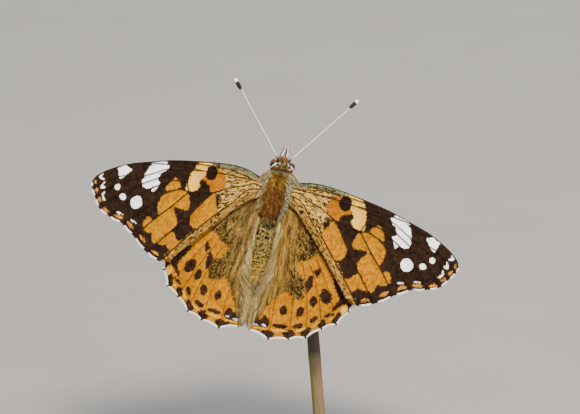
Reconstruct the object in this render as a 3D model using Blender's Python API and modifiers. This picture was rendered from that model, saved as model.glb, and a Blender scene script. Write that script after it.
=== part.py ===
"""Painted lady butterfly (Vanessa cardui), life-size, gripping a cut stem on a small display stand.

The butterfly is modelled in its own frame, with +X to its right, +Y to its head and +Z out of its
back, and one empty turns the whole specimen into its pose. The origin of the part is the middle of
the underside of the stand's base, with +Z up.
"""
from math import cos, pi, radians, sin, sqrt, tan

import bmesh
import bpy
import numpy as np
from mathutils import Matrix, Vector
from mathutils.geometry import delaunay_2d_cdt

MM = 0.001
GAP = 0.3 * MM

# Pose of the specimen: leaned back, tilted to its right, and turned on its long axis
LEAN_BACK = radians(20.0)
TILT_RIGHT = radians(12.5)
ROLL_RIGHT = radians(12.25)
SPECIMEN_AT = Vector((-7.3, -3.8, 54.0)) * MM

# Body lengths along Y, measured from the line that joins the wing roots
HEAD_FRONT = 4.8 * MM
NECK = 2.05 * MM
WAIST = -5.15 * MM
TAIL_TIP = -15.8 * MM
THORAX_HALF_WIDTH = 2.35 * MM
THORAX_HALF_HEIGHT = 2.12 * MM
HEAD_HALF_WIDTH = 1.5 * MM
HEAD_ASIDE = 0.3 * MM
ABDOMEN_HALF_WIDTH = 1.6 * MM

# Wings: a membrane with its main veins standing proud on both faces
MEMBRANE = 0.5 * MM
VEIN_HEIGHT = 0.8 * MM
VEIN_FOOT = 0.5 * MM
VEIN_STEP = 1.6 * MM
FILL_STEP = 2.2 * MM

# Feelers and legs
ANTENNA_RADIUS = 0.25 * MM
CLUB_RADIUS = 0.42 * MM
CLUB_LENGTH = 2.2 * MM
FEMUR_LENGTH = 3.9 * MM
FEMUR_RADIUS = 0.36 * MM
TIBIA_LENGTH = 3.7 * MM
TARSUS_RADIUS = 0.25 * MM

# Perch and display stand
STEM_RADIUS = 1.0 * MM
STEM_LEAN = tan(radians(4.3))
STEM_BEND = 5.2 * MM
BASE_RADIUS = 17.0 * MM
BASE_HEIGHT = 4.0 * MM
ROD_RADIUS = 1.1 * MM
ROD_FLANGE = 1.5 * MM
ROD_TOP = 9.2 * MM
RING_SIDES = 20

for old in list(bpy.data.objects):
    bpy.data.objects.remove(old, do_unlink=True)

parts = bpy.data.collections.new("painted_lady_butterfly")
cutters = bpy.data.collections.new("cutters")
for collection in (parts, cutters):
    bpy.context.scene.collection.children.link(collection)

specimen = bpy.data.objects.new("specimen", None)
parts.objects.link(specimen)
specimen.matrix_world = (
    Matrix.Translation(SPECIMEN_AT)
    @ Matrix.Rotation(pi / 2 - LEAN_BACK, 4, "X")
    @ Matrix.Rotation(-TILT_RIGHT, 4, "Z")
    @ Matrix.Rotation(ROLL_RIGHT, 4, "Y")
)
POSE = specimen.matrix_world.copy()


def material(name, colour, roughness, metallic=0.0):
    """A plain finish: its base colour, roughness and metallic value."""
    made = bpy.data.materials.new(name)
    made.use_nodes = True
    shader = made.node_tree.nodes["Principled BSDF"]
    shader.inputs["Base Color"].default_value = (*colour, 1.0)
    shader.inputs["Roughness"].default_value = roughness
    shader.inputs["Metallic"].default_value = metallic
    return made


def add_object(name, data, finish=None, parent=specimen):
    """Puts a mesh or curve in the parts, or in the cutters when it has no finish."""
    made = bpy.data.objects.new(name, data)
    if finish is None:
        cutters.objects.link(made)
        made.hide_render = True
        made.display_type = "WIRE"
    else:
        parts.objects.link(made)
        data.materials.append(finish)
    made.parent = parent
    return made


def add_mesh(name, bm, finish=None, parent=specimen):
    """Turns a bmesh into an object with its faces pointing out."""
    bmesh.ops.recalc_face_normals(bm, faces=bm.faces)
    mesh = bpy.data.meshes.new(name)
    bm.to_mesh(mesh)
    bm.free()
    mesh.shade_smooth()
    return add_object(name, mesh, finish, parent)


def smooth_rows(rows, count):
    """Reads evenly spaced rows from a smooth curve through the given rows of numbers."""
    rows = np.asarray(rows, float)
    steps = np.linalg.norm(np.diff(rows, axis=0), axis=1)
    at = np.concatenate([[0.0], np.cumsum(steps)])
    slope = np.gradient(rows, at, axis=0)
    want = np.linspace(0.0, at[-1], count)
    found = np.clip(np.searchsorted(at, want, side="right") - 1, 0, len(rows) - 2)
    span = (at[found + 1] - at[found])[:, None]
    t = ((want - at[found])[:, None]) / span
    start, end = rows[found], rows[found + 1]
    pull_start, pull_end = slope[found] * span, slope[found + 1] * span
    return (
        (2 * t**3 - 3 * t**2 + 1) * start
        + (t**3 - 2 * t**2 + t) * pull_start
        + (3 * t**2 - 2 * t**3) * end
        + (t**3 - t**2) * pull_end
    )


def loft(stations, count, extra=0.0, ring_wave=0.0, waves=0, aside=0.0):
    """A closed body of oval rings along Y. Each station is (y, z middle, half width, half height);
    aside shifts them all to the right."""
    rows = smooth_rows(stations, count)
    rows[:, 2:] += extra
    rows[0, 0] += extra * np.sign(rows[0, 0] - rows[1, 0])
    rows[-1, 0] += extra * np.sign(rows[-1, 0] - rows[-2, 0])
    if waves:
        along = np.linspace(0.0, 1.0, count)
        swell = ring_wave * np.sin(along * pi * waves) ** 2 * np.sin(along * pi)
        rows[:, 2:] += swell[:, None]
    bm = bmesh.new()
    rings = []
    for y, z, half_width, half_height in rows:
        ring = []
        for side in range(RING_SIDES):
            turn = 2 * pi * side / RING_SIDES
            spot = (aside + half_width * sin(turn), y, z + half_height * cos(turn))
            ring.append(bm.verts.new(spot))
        rings.append(ring)
    for ring, following in zip(rings, rings[1:]):
        for side in range(RING_SIDES):
            after = (side + 1) % RING_SIDES
            bm.faces.new((ring[side], ring[after], following[after], following[side]))
    bm.faces.new(rings[0])
    bm.faces.new(rings[-1])
    return bm


def oval(middle, half_sizes, extra=0.0):
    """A closed oval ball with its middle and its three half sizes."""
    bm = bmesh.new()
    bmesh.ops.create_uvsphere(bm, u_segments=18, v_segments=12, radius=1.0)
    sizes = Vector(half_sizes) + Vector((extra, extra, extra))
    bmesh.ops.scale(bm, vec=sizes, verts=bm.verts)
    bmesh.ops.translate(bm, vec=Vector(middle), verts=bm.verts)
    return bm


def cut(piece, *tools):
    """Takes each tool's volume off the piece."""
    for tool in tools:
        step = piece.modifiers.new("clear of " + tool.name, "BOOLEAN")
        step.operation = "DIFFERENCE"
        step.object = tool


def tube(name, path, radii, finish, count, parent=specimen):
    """A round tapered tube along a smooth path, made a mesh so that it can be cut."""
    rows = smooth_rows([(*point, radius) for point, radius in zip(path, radii)], count)
    curve = bpy.data.curves.new(name, "CURVE")
    curve.dimensions = "3D"
    curve.bevel_depth = 1.0
    curve.bevel_resolution = 2
    curve.use_fill_caps = True
    curve.twist_mode = "MINIMUM"
    spline = curve.splines.new("POLY")
    spline.points.add(count - 1)
    for point, row in zip(spline.points, rows):
        point.co = (row[0], row[1], row[2], 1.0)
        point.radius = row[3]
    holder = bpy.data.objects.new(name + "_curve", curve)
    bpy.context.scene.collection.objects.link(holder)
    bpy.context.view_layer.update()
    mesh = bpy.data.meshes.new_from_object(holder.evaluated_get(bpy.context.evaluated_depsgraph_get()))
    bpy.data.objects.remove(holder)
    bpy.data.curves.remove(curve)
    bm = bmesh.new()
    bm.from_mesh(mesh)
    bpy.data.meshes.remove(mesh)
    bmesh.ops.remove_doubles(bm, verts=bm.verts, dist=0.001 * MM)
    return add_mesh(name, bm, finish, parent)


# Thorax: the furred middle of the body that carries the wings and legs
fur_brown = material("fur_brown", (0.20, 0.11, 0.045), 0.9)
THORAX = [
    (NECK - GAP / 2, 0.0, 0.60 * THORAX_HALF_WIDTH, 0.58 * THORAX_HALF_HEIGHT),
    (1.2 * MM, 0.0, 0.84 * THORAX_HALF_WIDTH, 0.80 * THORAX_HALF_HEIGHT),
    (0.0, 0.0, 0.96 * THORAX_HALF_WIDTH, 0.97 * THORAX_HALF_HEIGHT),
    (-1.5 * MM, 0.0, THORAX_HALF_WIDTH, THORAX_HALF_HEIGHT),
    (-3.0 * MM, -0.05 * MM, 0.90 * THORAX_HALF_WIDTH, 0.92 * THORAX_HALF_HEIGHT),
    (-4.2 * MM, -0.1 * MM, 0.71 * THORAX_HALF_WIDTH, 0.76 * THORAX_HALF_HEIGHT),
    (WAIST + GAP / 2, -0.2 * MM, 0.50 * THORAX_HALF_WIDTH, 0.56 * THORAX_HALF_HEIGHT),
]
thorax = add_mesh("thorax", loft(THORAX, 14), fur_brown)
thorax_clearance = add_mesh("thorax_clearance", loft(THORAX, 14, extra=GAP))

# Abdomen: a slim spindle with shallow rings
ABDOMEN = [
    (WAIST - GAP / 2, -0.2 * MM, 0.80 * ABDOMEN_HALF_WIDTH, 0.80 * ABDOMEN_HALF_WIDTH),
    (-6.6 * MM, -0.2 * MM, 0.96 * ABDOMEN_HALF_WIDTH, 0.92 * ABDOMEN_HALF_WIDTH),
    (-8.6 * MM, -0.22 * MM, ABDOMEN_HALF_WIDTH, 0.95 * ABDOMEN_HALF_WIDTH),
    (-10.9 * MM, -0.28 * MM, 0.96 * ABDOMEN_HALF_WIDTH, 0.92 * ABDOMEN_HALF_WIDTH),
    (-12.9 * MM, -0.34 * MM, 0.78 * ABDOMEN_HALF_WIDTH, 0.76 * ABDOMEN_HALF_WIDTH),
    (-14.6 * MM, -0.38 * MM, 0.50 * ABDOMEN_HALF_WIDTH, 0.50 * ABDOMEN_HALF_WIDTH),
    (TAIL_TIP, -0.4 * MM, 0.16 * ABDOMEN_HALF_WIDTH, 0.16 * ABDOMEN_HALF_WIDTH),
]
abdomen_gold = material("abdomen_gold", (0.30, 0.20, 0.08), 0.85)
add_mesh("abdomen", loft(ABDOMEN, 29, ring_wave=0.07 * MM, waves=7), abdomen_gold)
abdomen_clearance = add_mesh("abdomen_clearance", loft(ABDOMEN, 14, extra=1.3 * GAP))

# Head: a short block, carried a little to the right, hollowed at each side where an eye sits
HEAD = [
    (NECK + GAP / 2, 0.0, 0.80 * HEAD_HALF_WIDTH, 0.78 * HEAD_HALF_WIDTH),
    (2.7 * MM, 0.05 * MM, 0.94 * HEAD_HALF_WIDTH, 0.90 * HEAD_HALF_WIDTH),
    (3.5 * MM, 0.1 * MM, HEAD_HALF_WIDTH, 0.96 * HEAD_HALF_WIDTH),
    (4.3 * MM, 0.05 * MM, 0.84 * HEAD_HALF_WIDTH, 0.84 * HEAD_HALF_WIDTH),
    (HEAD_FRONT, -0.05 * MM, 0.38 * HEAD_HALF_WIDTH, 0.42 * HEAD_HALF_WIDTH),
]
EYE_HALF_SIZES = Vector((0.76, 0.90, 1.0)) * MM
head = add_mesh("head", loft(HEAD, 12, aside=HEAD_ASIDE), fur_brown)
head_clearance = add_mesh("head_clearance", loft(HEAD, 12, extra=GAP, aside=HEAD_ASIDE))
eye_grey = material("eye_grey", (0.16, 0.15, 0.13), 0.25)
feeler_dark = material("feeler_dark", (0.05, 0.04, 0.035), 0.6)
leg_cream = material("leg_cream", (0.45, 0.36, 0.24), 0.8)
SIDES = (("left", -1), ("right", 1))
ANTENNA_REACH = {"left": 14.96 * MM, "right": 15.99 * MM}
for label, side in SIDES:
    eye_middle = Vector((HEAD_ASIDE + side * 1.45 * MM, 3.38 * MM, 0.1 * MM))
    add_mesh("eye_" + label, oval(eye_middle, EYE_HALF_SIZES), eye_grey)
    cut(head, add_mesh("eye_clearance_" + label, oval(eye_middle, EYE_HALF_SIZES, extra=GAP)))

    palp_path = [
        Vector((HEAD_ASIDE + side * 0.55 * MM, 4.1 * MM, -0.7 * MM)),
        Vector((HEAD_ASIDE + side * 0.60 * MM, 4.9 * MM, -0.75 * MM)),
        Vector((HEAD_ASIDE + side * 0.48 * MM, 5.6 * MM, -0.45 * MM)),
        Vector((1.4 * HEAD_ASIDE + side * 0.32 * MM, 6.3 * MM, 0.1 * MM)),
    ]
    palp_radii = [0.26 * MM, 0.32 * MM, 0.28 * MM, 0.12 * MM]
    cut(tube("palp_" + label, palp_path, palp_radii, fur_brown, 8), head_clearance)

    root = Vector((0.5 * HEAD_ASIDE + side * 0.68 * MM, 4.2 * MM, 0.8 * MM))
    tip = Vector((side * 9.94 * MM, ANTENNA_REACH[label], -0.3 * MM))
    along = tip - root
    club_start = 1.0 - CLUB_LENGTH / along.length
    shares = (0.0, club_start / 3, 2 * club_start / 3, club_start - 0.03, club_start + 0.06, 0.94, 1.0)
    antenna_path = [root + along * share for share in shares]
    antenna_radii = [ANTENNA_RADIUS] * 4 + [CLUB_RADIUS, CLUB_RADIUS, 0.6 * ANTENNA_RADIUS]
    cut(tube("antenna_" + label, antenna_path, antenna_radii, feeler_dark, 22), head_clearance)

# Proboscis: curled under the face like a watch spring, drawn as a single open curl
CURL_MIDDLE = Vector((0.3, 4.3, -2.35)) * MM
CURL_START = radians(125.0)
CURL_TURN = radians(285.0)
curl = []
for step in range(12):
    share = step / 11
    turn = CURL_START - CURL_TURN * share
    reach = (0.78 - 0.3 * share) * MM
    curl.append(CURL_MIDDLE + Vector((0.0, reach * cos(turn), reach * sin(turn))))
proboscis = tube("proboscis", curl, [0.23 * MM] * 10 + [0.2 * MM, 0.16 * MM], feeler_dark, 18)
cut(proboscis, head_clearance)

# Wings, in wing coordinates: p out from the body and q towards the head, in millimetres.
# Each outline starts inside the thorax, runs out along the leading edge to the first vein end,
# scallops from vein end to vein end along the outer margin, and comes home along the hind edge.
FOREWING = {
    "leading": [
        (0.5, 0.7), (2.6, 1.0), (4.9, 1.6), (7.0, 1.8), (10.2, 1.55), (14.0, 0.95), (19.2, -0.1),
        (22.5, -1.1), (25.8, -2.2), (28.2, -3.4), (29.9, -4.5), (31.0, -5.6), (31.3, -6.3),
    ],
    "vein_ends": [
        (31.1, -7.3), (30.2, -8.6), (29.1, -10.1), (27.3, -10.9),
        (24.7, -11.5), (22.2, -13.0), (19.5, -14.9), (16.8, -15.9),
    ],
    "scallop": 0.2,
    "hind": [
        (15.0, -14.9), (13.0, -12.5), (11.0, -10.2), (9.0, -8.0), (6.2, -5.0), (3.4, -2.5), (0.5, -1.6),
    ],
    "veins": [
        [(1.5, 0.3), (3.6, 0.2), (8.9, 0.0), (13.1, -0.4), (15.9, -0.9), (19.4, -1.6), (22.9, -3.4),
         (25.2, -3.9), (27.9, -4.9), (29.8, -6.1), (31.1, -7.3)],
        [(3.6, 0.2), (7.5, 0.8), (11.2, 0.75), (15.0, 0.35), (18.4, 0.0)],
        [(13.1, -0.4), (17.0, -0.5), (20.5, -0.95), (23.5, -1.5)],
        [(22.9, -3.4), (25.1, -4.5), (27.2, -5.7), (28.9, -7.0), (30.2, -8.6)],
        [(15.4, -1.6), (18.3, -2.1), (21.6, -3.9), (24.3, -5.6), (26.4, -6.9), (27.9, -8.4),
         (29.1, -10.1)],
        [(15.4, -2.7), (17.7, -3.0), (20.1, -4.35), (22.0, -5.6), (24.3, -7.4), (25.8, -9.0),
         (27.3, -10.9)],
        [(1.5, -0.5), (4.0, -0.4), (5.3, -1.0), (7.7, -1.9), (10.7, -3.4), (13.3, -3.85), (14.8, -4.2),
         (16.0, -4.1), (17.5, -4.6), (19.3, -5.8), (21.0, -7.6), (22.8, -9.5), (24.7, -11.5)],
        [(14.8, -4.2), (17.0, -6.9), (19.1, -9.2), (20.9, -11.4), (22.2, -13.0)],
        [(10.7, -3.4), (13.2, -7.1), (16.2, -11.0), (18.1, -13.3), (19.5, -14.9)],
        [(2.0, -0.8), (4.3, -1.5), (6.9, -4.4), (9.7, -7.2), (11.6, -9.4), (13.7, -11.9), (15.4, -14.0),
         (16.8, -15.9)],
        [(15.9, -0.9), (15.4, -2.7), (14.8, -4.2)],
    ],
}
HINDWING = {
    "leading": [
        (0.7, -2.6), (2.5, -2.5), (6.0, -3.6), (9.6, -5.8), (12.8, -8.7), (15.3, -11.9), (16.5, -14.2),
        (16.7, -15.7),
    ],
    "vein_ends": [
        (16.0, -17.2), (14.4, -19.7), (12.2, -20.9), (10.0, -22.9), (7.3, -23.7), (4.1, -24.4),
        (0.75, -23.5),
    ],
    "scallop": -0.24,
    "hind": [
        (0.45, -20.4), (0.65, -17.9), (1.3, -15.6), (1.85, -12.9), (2.05, -9.0), (1.9, -5.4), (0.7, -4.1),
    ],
    "veins": [
        [(1.6, -3.0), (4.5, -4.3), (8.0, -6.4), (11.5, -9.2), (14.5, -12.6), (16.7, -15.7)],
        [(6.2, -5.3), (8.8, -8.4), (11.3, -11.3), (13.9, -14.4), (16.0, -17.2)],
        [(8.9, -10.0), (11.0, -13.1), (12.9, -16.6), (14.4, -19.7)],
        [(8.2, -11.2), (9.9, -14.3), (11.2, -17.6), (12.2, -20.9)],
        [(7.0, -11.4), (8.3, -14.8), (9.3, -18.8), (10.0, -22.9)],
        [(1.6, -3.6), (3.4, -5.6), (4.7, -8.4), (5.8, -12.3), (6.7, -17.6), (7.3, -23.7)],
        [(5.1, -9.6), (7.0, -11.4), (8.2, -11.2), (8.9, -10.0), (8.8, -8.4)],
        [(1.8, -4.0), (2.9, -7.5), (3.5, -12.0), (3.9, -18.0), (4.1, -24.4)],
    ],
}
# How each wing is set: its fold, its fine turn and shift, and where its root plane lies
WING_SET = {
    "forewing_right": {"outline": FOREWING, "side": 1, "fold": 16.25, "turn": 0.0, "shift": (0.0, 0.0)},
    "forewing_left": {"outline": FOREWING, "side": -1, "fold": 17.4, "turn": 1.88, "shift": (0.42, -0.22)},
    "hindwing_right": {"outline": HINDWING, "side": 1, "fold": 10.2, "turn": 0.0, "shift": (0.0, 0.0)},
    "hindwing_left": {"outline": HINDWING, "side": -1, "fold": 10.2, "turn": 1.13, "shift": (-0.55, 0.06)},
}
FOREWING_CAMBER = 0.35 * MM
HINDWING_DROP = 1.0 * MM
HINDWING_TWIST = 0.09


def resample(points, step):
    """Points about one step apart on a smooth curve through the given ones."""
    length = np.linalg.norm(np.diff(points, axis=0), axis=1).sum()
    return smooth_rows(points, max(2, round(length / step) + 1))


def scalloped_margin(ends, scallop):
    """The outer margin: a shallow arc of fringe from one vein end to the next, out or in."""
    points = []
    for start, end in zip(ends, ends[1:]):
        run = end - start
        out = np.array([-run[1], run[0]]) / np.linalg.norm(run)
        for share in (0.0, 0.3, 0.7):
            points.append(start + run * share + out * scallop * sin(pi * share))
    return np.array(points)


def distance_to_lines(point, lines):
    """The shortest distance from a point to any of the lines."""
    best = np.inf
    for line in lines:
        start, run = line[:-1], np.diff(line, axis=0)
        share = ((point - start) * run).sum(axis=1) / (run * run).sum(axis=1)
        near = start + run * np.clip(share, 0.0, 1.0)[:, None]
        best = min(best, np.linalg.norm(point - near, axis=1).min())
    return best


def inside(point, outline):
    """Whether a point is within a closed outline, by counting crossings."""
    x, y = point
    x1, y1 = outline[:, 0], outline[:, 1]
    x2, y2 = np.roll(x1, -1), np.roll(y1, -1)
    crosses = (y1 > y) != (y2 > y)
    rise = np.where(y2 == y1, 1.0, y2 - y1)
    return (crosses & (x < x1 + (y - y1) * (x2 - x1) / rise)).sum() % 2 == 1


def smooth_step(value):
    """A soft change from 0 to 1."""
    value = np.clip(value, 0.0, 1.0)
    return value * value * (3 - 2 * value)


def wing_point(name, p, q):
    """Where a point of the wing's middle surface lies in the specimen's frame."""
    setting = WING_SET[name]
    turn = radians(setting["turn"])
    fold = radians(setting["fold"])
    out = p * cos(turn) - q * sin(turn) + setting["shift"][0] * MM
    fore = p * sin(turn) + q * cos(turn) + setting["shift"][1] * MM
    if setting["outline"] is FOREWING:
        lift = FOREWING_CAMBER * sin(pi * min(max(p / (31.0 * MM), 0.0), 1.0))
    else:
        lift = HINDWING_TWIST * p * smooth_step((q + 21.0 * MM) / (7.0 * MM)) - HINDWING_DROP
    x = out * cos(fold) - lift * sin(fold)
    z = out * sin(fold) + lift * cos(fold)
    return Vector((setting["side"] * x, fore, z))


def wing_layout(shape):
    """The wing's flat triangles, its points and which of them lie on a vein."""
    leading = resample(np.array(shape["leading"]) * MM, VEIN_STEP)
    ends = np.array(shape["vein_ends"]) * MM
    margin = scalloped_margin(np.vstack([leading[-1:], ends]), shape["scallop"] * MM)
    hind = resample(np.vstack([ends[-1:], np.array(shape["hind"]) * MM]), VEIN_STEP)
    outline = np.vstack([leading[:-1], margin, hind])
    veins = [resample(np.array(vein) * MM, VEIN_STEP) for vein in shape["veins"]]
    crests = veins + [leading[: int(0.8 * len(leading))]]
    loop = np.vstack([outline, outline[:1]])
    points = list(outline)
    edges = []
    for vein in veins:
        first = len(points)
        points.extend(vein)
        edges.extend((first + k, first + k + 1) for k in range(len(vein) - 1))
    for vein in veins:
        run = np.gradient(vein, axis=0)
        across = np.stack([-run[:, 1], run[:, 0]], axis=1) / np.linalg.norm(run, axis=1)[:, None]
        for foot in np.vstack([vein + across * VEIN_FOOT, vein - across * VEIN_FOOT]):
            clear = distance_to_lines(foot, crests) > 0.85 * VEIN_FOOT
            clear = clear and distance_to_lines(foot, [loop]) > 0.7 * VEIN_FOOT
            others = np.linalg.norm(np.array(points) - foot, axis=1).min()
            if clear and others > 0.7 * VEIN_FOOT and inside(foot, outline):
                points.append(foot)
    low, high = outline.min(axis=0), outline.max(axis=0)
    for column, p in enumerate(np.arange(low[0], high[0], FILL_STEP)):
        for q in np.arange(low[1], high[1], FILL_STEP) + (column % 2) * FILL_STEP / 2:
            spot = np.array([p, q])
            nearest = np.linalg.norm(np.array(points) - spot, axis=1).min()
            if inside(spot, outline) and nearest > 0.5 * FILL_STEP:
                points.append(spot)
    flat = [Vector((float(p), float(q))) for p, q in points]
    done = delaunay_2d_cdt(flat, edges, [list(range(len(outline)))], 1, 0.01 * MM)
    on_vein = [distance_to_lines(np.array(spot), crests) < 0.02 * MM for spot in done[0]]
    return done[0], done[2], on_vein


wing_dark = material("wing_dark", (0.10, 0.055, 0.03), 0.7)
wing_orange = material("wing_orange", (0.75, 0.30, 0.06), 0.7)
layouts = {"forewing": wing_layout(FOREWING), "hindwing": wing_layout(HINDWING)}
for name, setting in WING_SET.items():
    kind = name.split("_")[0]
    spots, triangles, on_vein = layouts[kind]
    bm = bmesh.new()
    verts = [bm.verts.new(wing_point(name, spot[0], spot[1])) for spot in spots]
    for triangle in triangles:
        bm.faces.new([verts[index] for index in triangle])
    bm.normal_update()
    if sum(face.normal.z for face in bm.faces) < 0:
        bmesh.ops.reverse_faces(bm, faces=bm.faces)
    mesh = bpy.data.meshes.new(name)
    bm.to_mesh(mesh)
    bm.free()
    mesh.shade_smooth()
    wing = add_object(name, mesh, wing_dark if kind == "forewing" else wing_orange)
    group = wing.vertex_groups.new(name="veins")
    group.add([index for index, raised in enumerate(on_vein) if raised], 1.0, "REPLACE")
    shell = wing.modifiers.new("membrane and veins", "SOLIDIFY")
    shell.thickness = VEIN_HEIGHT
    shell.offset = 0.0
    shell.vertex_group = group.name
    shell.thickness_vertex_group = MEMBRANE / VEIN_HEIGHT
    cut(wing, thorax_clearance)
    if kind == "hindwing":
        cut(wing, abdomen_clearance)

# Perch: a cut length of plant stem, straight below and bent over to the butterfly above
stem_olive = material("stem_olive", (0.30, 0.24, 0.12), 0.75)
STEM_BOTTOM = ROD_TOP + GAP
STEM_STRAIGHT_TO = SPECIMEN_AT.z - 28.0 * MM
STEM_TOP_LOCAL = Vector((0.0, -0.8, -4.3)) * MM
stem_top = POSE @ STEM_TOP_LOCAL


def stem_point(z):
    """The middle of the stem at a height."""
    bent = max(0.0, (z - STEM_STRAIGHT_TO) / (stem_top.z - STEM_STRAIGHT_TO))
    x = -(z - STEM_BOTTOM) * STEM_LEAN - STEM_BEND * bent**2
    y = stem_top.y * smooth_step((z - STEM_BOTTOM) / (stem_top.z - STEM_BOTTOM))
    return Vector((x, y, z))


heights = [STEM_BOTTOM + (stem_top.z - STEM_BOTTOM) * step / 12 for step in range(13)]
stem_path = [stem_point(z) for z in heights]
tube("perch_stem", stem_path, [STEM_RADIUS] * len(stem_path), stem_olive, 20, parent=None)


# Legs: short brush feet folded at the breast, and two pairs that grip the stem
def grip(side, below_top, lift):
    """A spot beside the stem in the specimen's frame, and the stem's own way down there."""
    to_local = POSE.inverted()
    z = stem_top.z - below_top
    middle = to_local @ stem_point(z)
    down = ((to_local @ stem_point(z - 0.5 * MM)) - middle).normalized()
    to_body = Vector((0.0, 0.0, 1.0))
    to_body = (to_body - down * to_body.dot(down)).normalized()
    across = down.cross(to_body)
    if across.x * side < 0:
        across.negate()
    away = STEM_RADIUS + GAP + TARSUS_RADIUS + 0.05 * MM
    return middle + (across * cos(lift) + to_body * sin(lift)) * away, down


def knee_between(hip, ankle, out):
    """The knee of a leg with a femur and a tibia of set lengths, bent outwards."""
    run = ankle - hip
    reach = min(run.length, 0.97 * (FEMUR_LENGTH + TIBIA_LENGTH))
    share = (FEMUR_LENGTH**2 - TIBIA_LENGTH**2 + reach**2) / (2 * reach)
    rise = sqrt(FEMUR_LENGTH**2 - share**2)
    way = run.normalized()
    out = (out - way * out.dot(way)).normalized()
    return hip + way * share + out * rise


LEGS = {
    "midleg": {
        "hip": (0.95, -0.9, -1.6), "below_top": 1.6 * MM, "foot": 1.9 * MM, "out": (1.0, 0.55, -0.1),
    },
    "hindleg": {
        "hip": (0.95, -3.0, -1.5), "below_top": 5.4 * MM, "foot": 2.2 * MM, "out": (1.0, -0.5, -0.1),
    },
}
for label, side in SIDES:
    fore_path = [
        Vector((side * 0.85, 0.3, -1.3)) * MM,
        Vector((side * 0.85, 1.1, -2.25)) * MM,
        Vector((side * 0.85, 2.1, -2.35)) * MM,
        Vector((side * 0.75, 3.1, -1.98)) * MM,
    ]
    fore_radii = [0.3 * MM, 0.32 * MM, 0.28 * MM, 0.2 * MM]
    cut(tube("foreleg_" + label, fore_path, fore_radii, leg_cream, 9), thorax_clearance)
    for kind, leg in LEGS.items():
        hip = Vector((side * leg["hip"][0], leg["hip"][1], leg["hip"][2])) * MM
        ankle, down = grip(side, leg["below_top"], radians(20.0))
        toe, _ = grip(side, leg["below_top"] + leg["foot"], radians(12.0))
        knee = knee_between(hip, ankle, Vector((side * leg["out"][0], leg["out"][1], leg["out"][2])))
        path = [hip, hip.lerp(knee, 0.5), hip.lerp(knee, 0.92)]
        path += [knee.lerp(ankle, 0.1), knee.lerp(ankle, 0.6)]
        path += [ankle, ankle.lerp(toe, 0.5), toe]
        radii = [FEMUR_RADIUS, FEMUR_RADIUS, 0.3 * MM, 0.28 * MM, 0.28 * MM]
        radii += [TARSUS_RADIUS, TARSUS_RADIUS, 0.7 * TARSUS_RADIUS]
        cut(tube(kind + "_" + label, path, radii, leg_cream, 20), thorax_clearance)


# Display stand: a turned base with a short rod that carries the stem's cut end
def turned(name, profile, finish):
    """A solid of revolution from (radius, height) points, listed from the top down."""
    bm = bmesh.new()
    verts = [bm.verts.new((radius, 0.0, height)) for radius, height in profile]
    for upper, lower in zip(verts, verts[1:]):
        bm.edges.new((upper, lower))
    mesh = bpy.data.meshes.new(name)
    bm.to_mesh(mesh)
    bm.free()
    made = add_object(name, mesh, finish, parent=None)
    spin = made.modifiers.new("turned", "SCREW")
    spin.steps = 48
    spin.render_steps = 48
    spin.use_merge_vertices = True
    spin.merge_threshold = 0.00001
    return made


base_edge = 0.8 * MM
stand_black = material("stand_black", (0.02, 0.02, 0.022), 0.35)
stand_brass = material("stand_brass", (0.55, 0.42, 0.20), 0.3, 1.0)
turned(
    "stand_base",
    [
        (0.0, BASE_HEIGHT),
        (BASE_RADIUS - 2 * base_edge, BASE_HEIGHT),
        (BASE_RADIUS - base_edge, BASE_HEIGHT - 0.3 * base_edge),
        (BASE_RADIUS - 0.3 * base_edge, BASE_HEIGHT - base_edge),
        (BASE_RADIUS, BASE_HEIGHT - 2 * base_edge),
        (BASE_RADIUS, 0.0),
        (0.0, 0.0),
    ],
    stand_black,
)
turned(
    "stand_rod",
    [
        (0.0, ROD_TOP),
        (ROD_FLANGE, ROD_TOP),
        (ROD_FLANGE, ROD_TOP - 0.6 * MM),
        (ROD_RADIUS, ROD_TOP - 1.0 * MM),
        (ROD_RADIUS, BASE_HEIGHT + GAP),
        (0.0, BASE_HEIGHT + GAP),
    ],
    stand_brass,
)
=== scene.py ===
"""Painted lady butterfly (Vanessa cardui) at life size, with its wings open, gripping a cut stem on
a small display stand. Everything is in metres in the frame of the solids, with +Z up.
"""

from math import cos, pi, radians, sin, sqrt, tan

import bpy
import numpy as np
from mathutils import Matrix, Vector
from mathutils.geometry import delaunay_2d_cdt
from mathutils.kdtree import KDTree


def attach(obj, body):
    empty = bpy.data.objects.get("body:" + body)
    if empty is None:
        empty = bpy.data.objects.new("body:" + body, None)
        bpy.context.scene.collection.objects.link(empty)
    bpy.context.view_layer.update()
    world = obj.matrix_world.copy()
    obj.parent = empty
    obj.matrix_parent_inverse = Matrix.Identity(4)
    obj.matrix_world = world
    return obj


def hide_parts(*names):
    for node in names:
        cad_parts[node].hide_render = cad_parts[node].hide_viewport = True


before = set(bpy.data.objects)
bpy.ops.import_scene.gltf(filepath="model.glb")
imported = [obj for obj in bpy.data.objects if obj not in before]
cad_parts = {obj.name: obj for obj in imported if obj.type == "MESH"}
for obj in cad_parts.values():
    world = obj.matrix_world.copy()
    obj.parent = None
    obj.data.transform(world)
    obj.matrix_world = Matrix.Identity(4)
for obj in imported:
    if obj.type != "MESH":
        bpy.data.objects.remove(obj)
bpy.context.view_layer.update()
MM = 0.001

# How the specimen is posed: leaned back on the stem, tilted to its right and rolled on its long
# axis. Its own frame has +X to its right, +Y to its head and +Z out of its back, in millimetres.
LEAN_BACK = radians(20.0)
TILT_RIGHT = radians(12.5)
ROLL_RIGHT = radians(12.25)
SPECIMEN_AT = Vector((-7.3, -3.8, 54.0)) * MM
POSE = (
    Matrix.Translation(SPECIMEN_AT)
    @ Matrix.Rotation(pi / 2 - LEAN_BACK, 4, "X")
    @ Matrix.Rotation(-TILT_RIGHT, 4, "Z")
    @ Matrix.Rotation(ROLL_RIGHT, 4, "Y")
)
POSE_TURN = np.array(POSE.to_3x3())

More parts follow.
